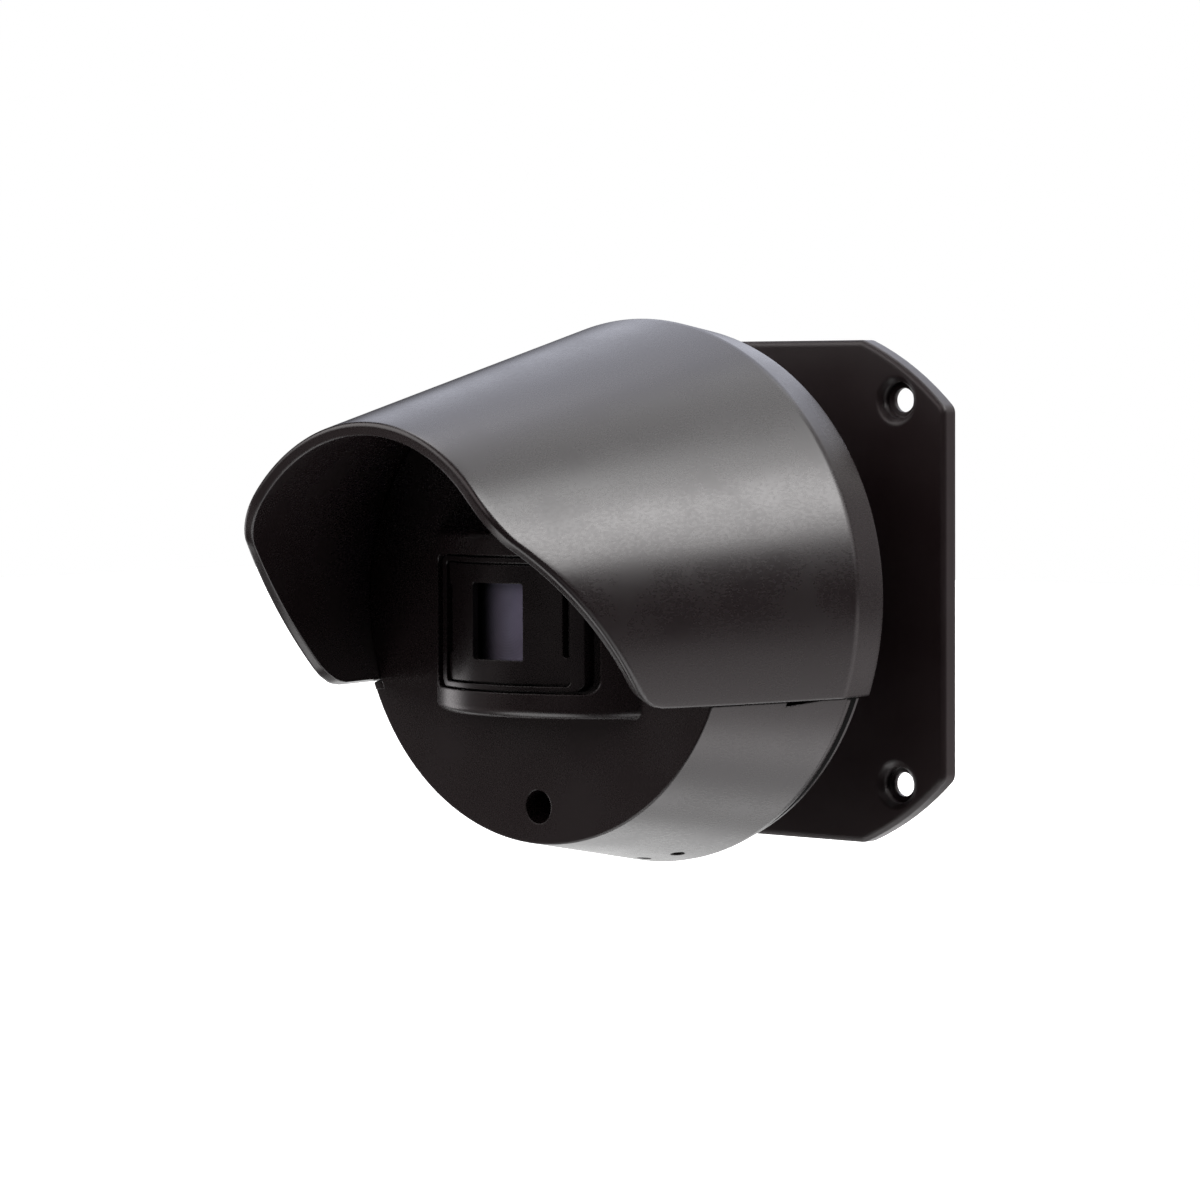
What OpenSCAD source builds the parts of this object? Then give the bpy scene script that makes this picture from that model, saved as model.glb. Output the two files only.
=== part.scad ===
// Battery radio transmitter with a passive infrared sensor, for an outdoor wall.
// A conical head with a rain hood stands off a square wall plate on a two-way swivel.
// Millimetres. +Z is up, the wall is the plane Y = 0 and the head looks along -Y.

/* [Wall plate] */
// Width of the wall plate
plate_w = 101.4; // [92:0.1:112]
// Height of the wall plate
plate_h = 99.8; // [92:0.1:112]
// Depth of the wall plate from the wall to its front
plate_t = 3.75; // [3:0.05:6]
// Thickness of the plate's front wall, the back of it is cored out
plate_web = 2.1; // [1.9:0.05:2.8]
// Thickness of the plate's rim and of its ribs
plate_rim = 2.2; // [1.4:0.1:4]
// Length that each corner's arc takes off the width
corner_cut_w = 20; // [12:0.5:22]
// Length that each corner's arc takes off the height
corner_cut_h = 13.5; // [8:0.5:18]
// Rise of each corner's arc over its chord
corner_bulge = 1.2; // [0.2:0.1:2]
// Rounding where the corner arcs meet the plate's sides
corner_r = 2.4; // [1:0.1:4]
// Bevel round the plate's front edge
plate_edge = 0.7; // [0.2:0.1:1]
// Spacing of the wall screw holes across
hole_pitch_w = 78; // [70:0.5:80]
// Spacing of the wall screw holes up and down
hole_pitch_h = 76; // [68:0.5:78]
// Diameter of the wall screw holes
hole_d = 4.8; // [3.5:0.1:5.5]
// Diameter of the seat for the screw heads
seat_d = 7.3; // [6.8:0.1:8]
// Thickness left under the screw heads
seat_floor = 0.95; // [0.8:0.05:1.4]
// Bevel round the mouth of each screw hole
seat_bevel = 1; // [0.4:0.1:1.2]

/* [Swivel] */
// Thickness of the bracket foot on the plate
foot_t = 2.5; // [2:0.1:4]
// Radius of the bracket foot
foot_r = 22.5; // [22:0.5:26]
// Diameter of the pan bolt and the tilt bolt
bolt_d = 5; // [4:0.1:5.4]
// Distance from the pan axis to the tilt axis
axis_step = 6.5; // [6.3:0.1:9]
// Half the height of the swivel block between the two lugs of the foot
block_half_h = 10.1; // [9:0.1:12]
// Half the width of the swivel block between the two cheeks of the tilt bracket
block_half_w = 9.9; // [9:0.1:12]
// Thickness of each lug and each cheek
lug_t = 4.2; // [3:0.1:5]
// Radius of the rounded end of each lug and cheek
lug_r = 7; // [6:0.1:7.4]
// Thickness of the tilt bracket's flange
flange_t = 3; // [2.8:0.1:4]
// Radius of the tilt bracket's flange
flange_r = 21; // [20.5:0.5:24]

/* [Rear housing] */
// Depth of the rear housing's rim
rim_depth = 5; // [4:0.1:7]
// Distance that the rear housing's rim lies inside the hood's crease
rim_set = 2; // [1.2:0.1:2.5]
// Thickness of the rear housing's floor
floor_t = 2.6; // [2:0.1:3.5]
// Distance that the spigot's outside lies inside the hood's crease
spigot_set = 5.9; // [5.4:0.1:6]
// Thickness of the spigot's wall
spigot_wall = 2.3; // [2:0.1:2.4]
// Length of the spigot in front of the rim
spigot_len = 5.7; // [5:0.1:6]

/* [Front shell] */
// Open joint between the rear housing's rim and the front shell
seam = 0.5; // [0.3:0.1:1]
// Length of the front shell from its rear edge to its face
shell_len = 32.95; // [31:0.05:36]
// Distance that the front shell's rear edge lies inside the hood's crease
shell_set = 1.04; // [0.4:0.02:1.4]
// Fall in radius of the front shell from its rear edge to its face
shell_fall = 5.96; // [5:0.02:6.4]
// Wall of the front shell
shell_wall = 2.4; // [2:0.1:2.6]
// Rounding of the edge round the face
face_edge_r = 0.5; // [0.3:0.1:1]
// Height of the cover screw's hole above the head's axis
cover_screw_z = -39.9; // [-40.2:0.1:-39.5]
// Diameter of the cover screw's hole in the face
cover_hole_d = 6.5; // [6.4:0.1:6.8]
// Diameter of the drain holes under the body
drain_d = 2.9; // [1.5:0.1:3]
// Spacing of the drain holes
drain_pitch = 8.6; // [6:0.1:9]

/* [Hood] */
// Distance from the hood's crease to its front edge
hood_reach = 79.2; // [60:0.1:90]
// Radius of the hood at its crease
crease_r = 54.2; // [53.8:0.1:54.6]
// Length of the hood's band behind the crease
band_len = 9.8; // [8:0.1:11]
// Fall in radius of the band from the crease to its rear edge
band_fall = 1.45; // [0.6:0.05:1.6]
// Wall of the band
band_wall = 1.6; // [1.4:0.1:1.65]
// Wall of the hood
hood_wall = 2.8; // [2.4:0.1:3]
// Fall in radius of the hood for each unit of its length
hood_taper_share = 0.22; // [0.18:0.01:0.24]
// Droop of the hood's axis in degrees
hood_droop = 1.57; // [0:0.01:2]
// Height of the hood's lower edge above the head's axis
hood_low_z = -18.6; // [-22:0.1:-14]
// Height where the sloping edge would meet the front edge
hood_slope_z = 17.8; // [12:0.1:22]
// Angle of the sloping edge from level in degrees
hood_slope = 46.9; // [40:0.1:52]
// Rounding of the hood's outline seen from the side
hood_round = 14.5; // [4:0.5:16]

/* [Lens turret] */
// Radius of the turret
turret_r = 32.7; // [32.3:0.1:33.5]
// Distance that the turret's axis lies behind the face
turret_set = 19.55; // [19:0.05:20.5]
// Height of the turret's underside above the head's axis
turret_low_z = -21.9; // [-22.2:0.1:-21.7]
// Height of the turret's top above the head's axis
turret_high_z = 13.7; // [13.5:0.1:14]
// Wall of the turret
turret_wall = 2.2; // [1.8:0.1:2.4]
// Rounding of the turret's upper and lower edges
turret_edge_r = 1.8; // [0.5:0.1:2]
// Half the width of the turret's opening
opening_half_w = 20.8; // [20.4:0.1:21.5]
// Height of the opening's lower edge above the head's axis
opening_low_z = -17.1; // [-17.4:0.1:-16.9]
// Height of the opening's upper edge above the head's axis
opening_high_z = 8.9; // [8.7:0.1:9.2]
// Rounding of the opening's corners
opening_r = 2.6; // [1:0.1:3]

/* [Lens carrier] */
// Half the width of the carrier's frame
frame_half_w = 18.15; // [17.6:0.05:18.3]
// Width of the frame's upright bars
bar_w = 2.3; // [2:0.05:2.5]
// Width of the frame's top and bottom bars
rail_w = 1; // [0.8:0.05:1.3]
// Depth of the side notches in the mask
notch_depth = 1.4; // [0.6:0.1:1.7]
// Half the width of the window in the mask
window_half_w = 6.4; // [3:0.1:9]
// Height of the window in the mask
window_h = 14.6; // [8:0.1:16]
// Thickness of the lens
lens_t = 0.6; // [0.4:0.05:0.7]
// Diameter of the carrier's pivots
pivot_d = 4; // [3:0.1:5]

/* [Electronics] */
// Thickness of the circuit board
board_t = 1.6; // [1:0.1:1.8]
// Radius of the circuit board's round side
board_r = 43; // [42:0.5:43.5]
// Length of the battery's case
battery_l = 46.4; // [45:0.1:46.8]
// Width of the battery's case
battery_w = 26.2; // [25:0.1:26.3]
// Thickness of the battery's case
battery_t = 17.2; // [16:0.1:17.5]

/* [Hidden] */

$fn = 96;
plastic = "#2b2725";
dark_plastic = "#1b1918";
steel = "#b9bcc0";
overrun = 1;
rest_gap = 0.05;
loose_gap = 0.3;
pin_gap = 0.08;
arc_steps = 8;
half = 0.5;

// Swivel
block_back_r = 5.8;
block_front_r = 5.3;
block_gap = 0.45;
lug_root_half_w = 9.5;
cheek_root_half_w = 8;
lug_neck_share = 0.9;
block_web_share = 0.85;
pan_axis_d = plate_t + foot_t + block_back_r + block_gap;
tilt_axis_d = pan_axis_d + axis_step;
flange_back_d = tilt_axis_d + block_front_r + block_gap;
housing_back_d = flange_back_d + flange_t;
lug_in_z = block_half_h + loose_gap;
lug_out_z = lug_in_z + lug_t;
cheek_in_x = block_half_w + loose_gap;
cheek_out_x = cheek_in_x + lug_t;
bolt_head_af = 8;
bolt_head_h = 3.4;
nut_h = 4;
washer_r = 4.9;
washer_t = 1;
bolt_tail = 1;
pad_r = foot_r + plate_rim;
foot_boss_r = 3.5;
foot_boss_h = 3;
foot_boss_at = 13;

// Screws
screw_r = 1.5;
screw_head_r = 2.8;
screw_head_h = 1.7;
screw_tip_gap = 0.6;
drive_w = 0.8;
drive_depth = 0.9;
drive_l_share = 1.3;
flange_screw_x = 6;
flange_screw_z = 15.5;
flange_screw_l = 9.5;
boss_wall = 1.7;

// Rear housing
rim_r = crease_r - rim_set;
spigot_r = crease_r - spigot_set;
band_back_r = crease_r - band_fall;
band_clearance = 0.35;
rim_top_r = band_back_r - band_wall - band_clearance;
housing_cut_z = hood_low_z - loose_gap;
housing_floor_d = housing_back_d + floor_t;
rim_front_d = housing_back_d + rim_depth;
spigot_front_d = rim_front_d + spigot_len;
spigot_in_r = spigot_r - spigot_wall;
seal_step = 2.2;
seal_d = rim_front_d + seal_step;
seal_wire_r = 0.75;
seal_proud = 0.1;
seal_groove_w = 2.2;
seal_groove_r = spigot_r - seal_wire_r * 2 + seal_proud;
rim_bevel = 0.6;

// Front shell
shell_back_d = rim_front_d + seam;
shell_back_r = crease_r - shell_set;
shell_face_r = shell_back_r - shell_fall;
face_d = shell_back_d + shell_len;
shell_bore_r = spigot_r + loose_gap;
shell_bore_front_d = spigot_front_d + loose_gap;
shell_taper_share = shell_fall / shell_len;
shell_in_r = shell_back_r - (shell_bore_front_d - shell_back_d) * shell_taper_share - shell_wall;
face_in_d = face_d - shell_wall;
cover_screw_r = 1.75;
cover_screw_head_r = 2.95;
cover_screw_head_h = 2.4;
cover_boss_r = 4.1;
cover_boss_rise = 2.4;
cover_boss_front_d = spigot_front_d + cover_boss_rise;
tower_back_d = cover_boss_front_d + loose_gap;
tower_wall = 1.5;
tower_floor = 2;
tower_rib_w = 1.6;
cover_screw_seat_d = tower_back_d + tower_floor;
cover_screw_tip_d = 2.4;
cover_screw_l = cover_screw_seat_d - housing_floor_d - cover_screw_tip_d;
drain_set = 1.4;
drain_count = 4;
notch_l = 8.7;
notch_h = 0.8;
notch_ahead = 10.6;

// Hood
crease_step = 2.4;
crease_d = shell_back_d + crease_step;
hood_back_d = crease_d - band_len;
hood_front_d = crease_d + hood_reach;
hood_gap = 0.15;
band_lap = 1.2;
band_sink = 0.5;
band_slope_share = band_fall / band_len;
droop_drop = crease_r * hood_taper_share * sin(hood_droop);
hood_spare = 6;
hood_slope_foot = (hood_slope_z - hood_low_z) / tan(hood_slope);
hood_screw_angles = [25, 90, 155];
hood_screw_set = 16;
hood_screw_d = face_d - hood_screw_set;
hood_screw_r = 1.2;
hood_screw_head_r = 2.3;
hood_screw_head_h = 1.5;
hood_screw_sink = 10.2;
hood_screw_seat_r = crease_r - hood_screw_sink;
hood_screw_l = 5.4;
hood_pad_r = 3.2;

// Turret and lens
turret_axis_d = face_d - turret_set;
turret_in_r = turret_r - turret_wall;
turret_in_low = turret_low_z + turret_wall;
turret_in_high = turret_high_z - turret_wall;
shelf_boss_r = 5;
shelf_root_half_w = 9;
drum_gap = 0.4;
drum_r = turret_in_r - drum_gap;
drum_wall = 1.5;
drum_in_r = drum_r - drum_wall;
drum_half_angle = 48;
drum_low = turret_in_low + drum_gap;
drum_high = turret_in_high - drum_gap;
frame_gap = 0.4;
frame_r = turret_r - frame_gap;
frame_low = opening_low_z + frame_gap;
frame_high = opening_high_z - frame_gap;
frame_round = 2.2;
recess_half_w = frame_half_w - bar_w;
recess_low = frame_low + rail_w;
recess_high = frame_high - rail_w;
recess_round = 1;
ledge_w = 2;
ledge_h = 1.2;
light_half_w = recess_half_w - ledge_w;
light_low = recess_low + ledge_h;
light_high = recess_high - ledge_h;
arm_t = 1.5;
arm_half_w = 16;
arm_boss_r = 4.6;
pivot_set = 0.2;
pivot_l = turret_wall - pivot_set;
mask_gap = 0.35;
mask_t = 1.5;
mask_half_w = recess_half_w - mask_gap;
mask_low = recess_low + mask_gap;
mask_high = recess_high - mask_gap;
mask_in_r = drum_r + rest_gap;
mask_out_r = mask_in_r + mask_t;
sight_lift = 0.4;
sight_z = (frame_low + frame_high) * half + sight_lift;
window_low = sight_z - window_h * half;
notch_foot = 0.8;
notch_head = 0.6;
notch_low = window_low + notch_foot;
notch_high = window_low + window_h - notch_head;
lens_r = drum_in_r - rest_gap;
lens_half_angle = 38;
lens_edge_gap = 0.25;
ring_spare = 4;
ring_cut_r = turret_r + ring_spare;

// Electronics
board_step = 0.9;
board_back_d = spigot_front_d + board_step;
board_front_d = board_back_d + board_t;
board_left_x = -9.5;
board_right_x = 40;
board_low_z = -33;
board_high_z = 36;
standoff_r = 3;
standoff_at = [[-6, 29], [-6, -28], [31, 24], [31, -24]];
board_screw_r = 1.1;
board_screw_head_r = 2.2;
board_screw_head_h = 1.5;
board_screw_l = 6;
sensor_r = 4.6;
sensor_flange_r = 5;
sensor_flange_h = 0.6;
sensor_h = 4.2;
spacer_h = 3;
sensor_glass_w = 4;
sensor_glass_h = 3;
sensor_glass_t = 0.4;
lamp_x = 8.5;
lamp_z = -12;
lamp_r = 1.5;
lamp_h = 3.4;
radio_x = 8;
radio_z = 15.5;
radio_w = 15;
radio_l = 15;
radio_base_t = 0.8;
radio_can_h = 2.6;
radio_margin = 1;
antenna_r = 39.5;
antenna_wire_r = 0.6;
antenna_post_r = 1.1;
antenna_rise = 5;
antenna_start = -50;
antenna_sweep = 110;
chip_x = 8;
chip_z = -30;
chip_w = 10;
chip_t = 1.6;
chip_pin_w = 0.5;
chip_pin_l = 1;
chip_pin_t = 0.3;
chip_pins = 8;
capacitor_at = [[-3.5, 21], [27, -13]];
capacitor_r = 2.6;
capacitor_h = 6;
switch_x = 24;
switch_z = -4;
switch_w = 8.6;
switch_l = 4.4;
switch_h = 3.4;
lever_w = 1.6;
lever_l = 1.4;
lever_rise = 2;
lever_travel = 2;
lever_sink = 2;
dial_x = 24;
dial_z = 6;
dial_base_w = 6.6;
dial_base_h = 2.6;
dial_r = 2.4;
dial_h = 1.2;
dial_stem_r = 1;
dial_stem_l = 1.6;
dial_slot_w = 0.6;
dial_slot_depth = 0.6;
battery_x = -24.3;
battery_z = -2;
battery_back_d = housing_floor_d + loose_gap;
battery_mid_d = battery_back_d + battery_t * half;
battery_top_z = battery_z + battery_l * half;
battery_edge = 1.6;
stud_r = 2.8;
stud_h = 2.1;
stud_pitch = 12.7;
snap_w = 24;
snap_l = 12;
snap_h = 4.4;
lead_r = 0.7;
lead_bend_r = 1.8;
lead_pitch = 2.6;
lead_run = 4;
bay_wall = 1.4;
bay_h = 7.5;
bay_side_half = 14;
bay_end_half = 9;
pad_w = 12.5;
pad_l = 16;
pad_x = -31.8;

// Directions: [x, up, distance from the wall]
module from_wall() { rotate([90, 0, 0]) children(); }

// Corner points of an outline, each corner rounded with an arc
function unit(v) = v / norm(v);
function turn_between(a, b) = let (t = b - a) t > 180 ? t - 360 : t < -180 ? t + 360 : t;
function corner_arc(before, corner, after, r) =
    let (u = unit(before - corner), v = unit(after - corner),
        open_half = acos(u * v) * half,
        centre = corner + unit(u + v) * (r / sin(open_half)),
        start = corner + u * (r / tan(open_half)) - centre,
        finish = corner + v * (r / tan(open_half)) - centre,
        a = atan2(start.y, start.x),
        sweep = turn_between(a, atan2(finish.y, finish.x)))
    [for (i = [0 : arc_steps]) let (b = a + sweep * i / arc_steps) centre + r * [cos(b), sin(b)]];
function rounded(points, r) = let (n = len(points))
    [for (i = [0 : n - 1]) each corner_arc(points[(i + n - 1) % n], points[i], points[(i + 1) % n], r)];
function span(mid, half_l) = [mid - half_l, mid + half_l];
function run(start, l) = [start, start + l];
function box_points(half_w, low, high) = [[-half_w, low], [half_w, low], [half_w, high], [-half_w, high]];

// Prism with a rounded outline in X and Z, from one distance to another
module window_prism(half_w, low, high, r, from_d, to_d) {
    from_wall() translate([0, 0, from_d])
        linear_extrude(to_d - from_d) polygon(rounded(box_points(half_w, low, high), r));
}

// Box given by its corners: x, up and distance from the wall
module block(x, z, d) {
    from_wall() translate([x[0], z[0], d[0]]) cube([x[1] - x[0], z[1] - z[0], d[1] - d[0]]);
}

// Upright cylinder on the turret's axis
module on_turret_axis(r, low, high) {
    translate([0, -turret_axis_d, low]) cylinder(r = r, h = high - low);
}

// Cross recess of a screw head, its mouth in the plane z = 0 and its depth along +z
module cross_recess(head_r) {
    for (a = [0, 90]) rotate(a)
        translate([-head_r * drive_l_share * half, -drive_w * half, -overrun])
            cube([head_r * drive_l_share, drive_w, drive_depth + overrun]);
}

// Screw with its head's seat at z = 0 and its shank along +z
module pan_screw(r, l, head_r, head_h) {
    difference() {
        union() {
            cylinder(r = r, h = l);
            translate([0, 0, -head_h])
                cylinder(r1 = head_r - head_h * (1 - lug_neck_share), r2 = head_r, h = head_h);
        }
        translate([0, 0, -head_h]) cross_recess(head_r);
    }
}

// Countersunk screw with the top of its head at z = 0 and its shank along +z
module flat_screw(r, l, head_r, head_h) {
    difference() {
        union() {
            cylinder(r = r, h = l);
            cylinder(r1 = head_r, r2 = r, h = head_h);
        }
        cross_recess(head_r);
    }
}

// Hole that a countersunk screw sits in
module flat_screw_hole(r, l, head_r, head_h) {
    cylinder(r = r + pin_gap, h = l);
    cylinder(r1 = head_r + pin_gap, r2 = r + pin_gap, h = head_h);
    translate([0, 0, -overrun]) cylinder(r = head_r + pin_gap, h = overrun + rest_gap);
}

// Hexagon bolt with its head's seat at z = 0 and its shank along +z
module hex_bolt(l) {
    cylinder(r = bolt_d * half, h = l);
    translate([0, 0, -bolt_head_h]) cylinder(d = bolt_head_af / cos(30), h = bolt_head_h, $fn = 6);
}

module hex_nut() {
    difference() {
        cylinder(d = bolt_head_af / cos(30), h = nut_h, $fn = 6);
        translate([0, 0, -overrun]) cylinder(r = bolt_d * half + pin_gap, h = nut_h + 2 * overrun);
    }
}

module washer() {
    difference() {
        cylinder(r = washer_r, h = washer_t);
        translate([0, 0, -overrun]) cylinder(r = bolt_d * half + pin_gap, h = washer_t + 2 * overrun);
    }
}

// Places of the pieces that sit on the two swivel bolts
module on_pan_axis() { translate([0, -pan_axis_d, 0]) children(); }
module on_tilt_axis() { translate([0, -tilt_axis_d, 0]) rotate([0, 90, 0]) children(); }
bolt_seat_z = lug_out_z + washer_t + rest_gap;
bolt_seat_x = cheek_out_x + washer_t + rest_gap;
pan_bolt_l = bolt_seat_z * 2 + nut_h + bolt_tail;
tilt_bolt_l = bolt_seat_x * 2 + nut_h + bolt_tail;

// Corner of the plate for x > 0 and y > 0, from its side to its top: an arc that bulges over its chord
corner_chord = norm([corner_cut_w, corner_cut_h]);
corner_arc_r = (pow(corner_chord, 2) / 4 + pow(corner_bulge, 2)) / (2 * corner_bulge);
corner_centre = ([plate_w, plate_h] - [corner_cut_w, corner_cut_h]) * half
    - unit([corner_cut_h, corner_cut_w]) * (corner_arc_r - corner_bulge);
function quarter(inset) =
    let (r = corner_arc_r - inset,
        from_a = acos((plate_w * half - inset - corner_centre.x) / r),
        to_a = asin((plate_h * half - inset - corner_centre.y) / r))
    [for (i = [0 : arc_steps]) let (a = from_a + (to_a - from_a) * i / arc_steps)
        corner_centre + r * [cos(a), sin(a)]];
function flip(points, sx, sy) = [for (p = points) [p.x * sx, p.y * sy]];
function back_to_front(points) = [for (i = [len(points) - 1 : -1 : 0]) points[i]];
function plate_points(inset) = let (q = quarter(inset))
    concat(q, flip(back_to_front(q), -1, 1), flip(q, -1, -1), flip(back_to_front(q), 1, -1));

// Outline of the plate, rounded only where the corner arcs meet its sides
module plate_outline(inset) {
    points = plate_points(inset);
    n = len(points);
    r = max(corner_r - inset, rest_gap);
    polygon([for (i = [0 : n - 1]) each i % (arc_steps + 1) == 0 || i % (arc_steps + 1) == arc_steps
        ? corner_arc(points[(i + n - 1) % n], points[i], points[(i + 1) % n], r) : [points[i]]]);
}

module at_plate_holes() {
    for (x = [-1, 1], z = [-1, 1])
        from_wall() translate([x * hole_pitch_w * half, z * hole_pitch_h * half, 0]) children();
}

module at_foot_screws() {
    for (x = [-1, 1], z = [-1, 1])
        from_wall() translate([x * foot_boss_at, z * foot_boss_at, 0]) children();
}

// What the hollow back of the plate leaves: two ribs, a round pad and a pad at each hole
module plate_ribs() {
    for (a = [0, 90]) rotate(a) square([plate_w * 2, plate_rim], center = true);
    circle(r = pad_r);
    for (x = [-1, 1], z = [-1, 1]) translate([x * hole_pitch_w * half, z * hole_pitch_h * half])
        circle(d = seat_d + 2 * plate_rim);
}

module wall_plate() {
    color(plastic) difference() {
        hull() {
            from_wall() linear_extrude(plate_t - plate_edge) plate_outline(0);
            from_wall() linear_extrude(plate_t) plate_outline(plate_edge);
        }
        from_wall() translate([0, 0, -overrun]) linear_extrude(plate_t - plate_web + overrun)
            difference() {
                plate_outline(plate_rim);
                plate_ribs();
            }
        at_plate_holes() translate([0, 0, -overrun]) cylinder(d = hole_d, h = plate_t + 2 * overrun);
        at_plate_holes() translate([0, 0, seat_floor]) cylinder(d = seat_d, h = plate_t);
        at_plate_holes() translate([0, 0, plate_t - seat_bevel])
            cylinder(d1 = seat_d, d2 = seat_d + 4 * seat_bevel, h = 2 * seat_bevel);
        at_foot_screws() flat_screw_hole(screw_r, plate_t + overrun, screw_head_r, screw_head_h);
    }
}

// Tapered ear that ends in a round eye, drawn in the plane of its outline
module ear_outline(root_half_w, root_d, eye_d) {
    translate([0, -eye_d]) circle(r = lug_r);
    polygon([[-root_half_w, -root_d], [root_half_w, -root_d],
        [lug_r * lug_neck_share, -eye_d], [-lug_r * lug_neck_share, -eye_d]]);
}

module bracket_foot() {
    color(plastic) difference() {
        union() {
            from_wall() translate([0, 0, plate_t]) cylinder(r = foot_r, h = foot_t);
            for (z = [-lug_out_z, lug_in_z]) translate([0, 0, z])
                linear_extrude(lug_t) ear_outline(lug_root_half_w, plate_t + foot_t * half, pan_axis_d);
            at_foot_screws() translate([0, 0, plate_t]) cylinder(r = foot_boss_r, h = foot_t + foot_boss_h);
        }
        on_pan_axis() translate([0, 0, -lug_out_z - overrun])
            cylinder(r = bolt_d * half + pin_gap, h = 2 * (lug_out_z + overrun));
        at_foot_screws() translate([0, 0, plate_t - overrun])
            cylinder(r = screw_r + pin_gap, h = foot_t + foot_boss_h - screw_tip_gap + overrun);
    }
}

module foot_screws() {
    color(steel) at_foot_screws() translate([0, 0, rest_gap])
        flat_screw(screw_r, plate_t + foot_t + foot_boss_h - 2 * screw_tip_gap, screw_head_r, screw_head_h);
}

module swivel_block() {
    color(plastic) difference() {
        union() {
            on_pan_axis() translate([0, 0, -block_half_h]) cylinder(r = block_back_r, h = 2 * block_half_h);
            on_tilt_axis() translate([0, 0, -block_half_w])
                cylinder(r = block_front_r, h = 2 * block_half_w);
            block([-1, 1] * block_back_r * block_web_share, [-1, 1] * block_front_r * block_web_share,
                [pan_axis_d, tilt_axis_d]);
        }
        on_pan_axis() translate([0, 0, -block_half_h - overrun])
            cylinder(r = bolt_d * half + pin_gap, h = 2 * (block_half_h + overrun));
        on_tilt_axis() translate([0, 0, -block_half_w - overrun])
            cylinder(r = bolt_d * half + pin_gap, h = 2 * (block_half_w + overrun));
    }
}

module pan_bolt() {
    color(steel) on_pan_axis() translate([0, 0, bolt_seat_z]) rotate([180, 0, 0]) hex_bolt(pan_bolt_l);
}

module pan_nut() {
    color(steel) on_pan_axis() translate([0, 0, -bolt_seat_z - nut_h]) hex_nut();
}

module pan_washers() {
    color(steel) on_pan_axis() {
        translate([0, 0, lug_out_z + rest_gap * half]) washer();
        translate([0, 0, -bolt_seat_z + rest_gap * half]) washer();
    }
}

module tilt_bracket() {
    color(plastic) difference() {
        union() {
            from_wall() translate([0, 0, flange_back_d]) cylinder(r = flange_r, h = flange_t);
            for (x = [-cheek_out_x, cheek_in_x]) translate([x, 0, 0]) rotate([90, 0, 90])
                linear_extrude(lug_t) mirror([1, -1])
                    ear_outline(cheek_root_half_w, flange_back_d + flange_t * half, tilt_axis_d);
        }
        on_tilt_axis() translate([0, 0, -cheek_out_x - overrun])
            cylinder(r = bolt_d * half + pin_gap, h = 2 * (cheek_out_x + overrun));
        at_flange_screws() flat_screw_hole(screw_r, flange_t + overrun, screw_head_r, screw_head_h);
    }
}

module at_flange_screws() {
    for (x = [-1, 1], z = [-1, 1])
        from_wall() translate([x * flange_screw_x, z * flange_screw_z, flange_back_d]) children();
}

module tilt_bracket_screws() {
    color(steel) at_flange_screws() translate([0, 0, rest_gap])
        flat_screw(screw_r, flange_screw_l, screw_head_r, screw_head_h);
}

module tilt_bolt() {
    color(steel) on_tilt_axis() translate([0, 0, -bolt_seat_x]) hex_bolt(tilt_bolt_l);
}

module tilt_nut() {
    color(steel) on_tilt_axis() translate([0, 0, bolt_seat_x]) hex_nut();
}

module tilt_washers() {
    color(steel) on_tilt_axis() {
        translate([0, 0, cheek_out_x + rest_gap * half]) washer();
        translate([0, 0, -bolt_seat_x + rest_gap * half]) washer();
    }
}

// Everything below a height, as a block round the head
module below(z) { block([-1, 1] * plate_w, [-plate_h, z], [0, hood_front_d]); }
module above(z) { block([-1, 1] * plate_w, [z, plate_h], [0, hood_front_d + hood_spare]); }

module rim_disc(r) {
    from_wall() {
        translate([0, 0, housing_back_d]) cylinder(r1 = r - rim_bevel, r2 = r, h = rim_bevel);
        translate([0, 0, housing_back_d + rim_bevel]) cylinder(r = r, h = rim_depth - rim_bevel);
    }
}

module at_standoffs() {
    for (p = standoff_at) from_wall() translate([p.x, p.y, 0]) children();
}

// Low walls that hold the battery by its sides and its foot
module battery_bay() {
    side = battery_w * half + loose_gap;
    foot = battery_z - battery_l * half - loose_gap;
    top_d = housing_floor_d + bay_h;
    for (x = [battery_x - side - bay_wall, battery_x + side])
        block(run(x, bay_wall), span(battery_z, bay_side_half), [housing_floor_d - rest_gap, top_d]);
    block(span(battery_x, bay_end_half), run(foot - bay_wall, bay_wall),
        [housing_floor_d - rest_gap, top_d]);
}

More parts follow.
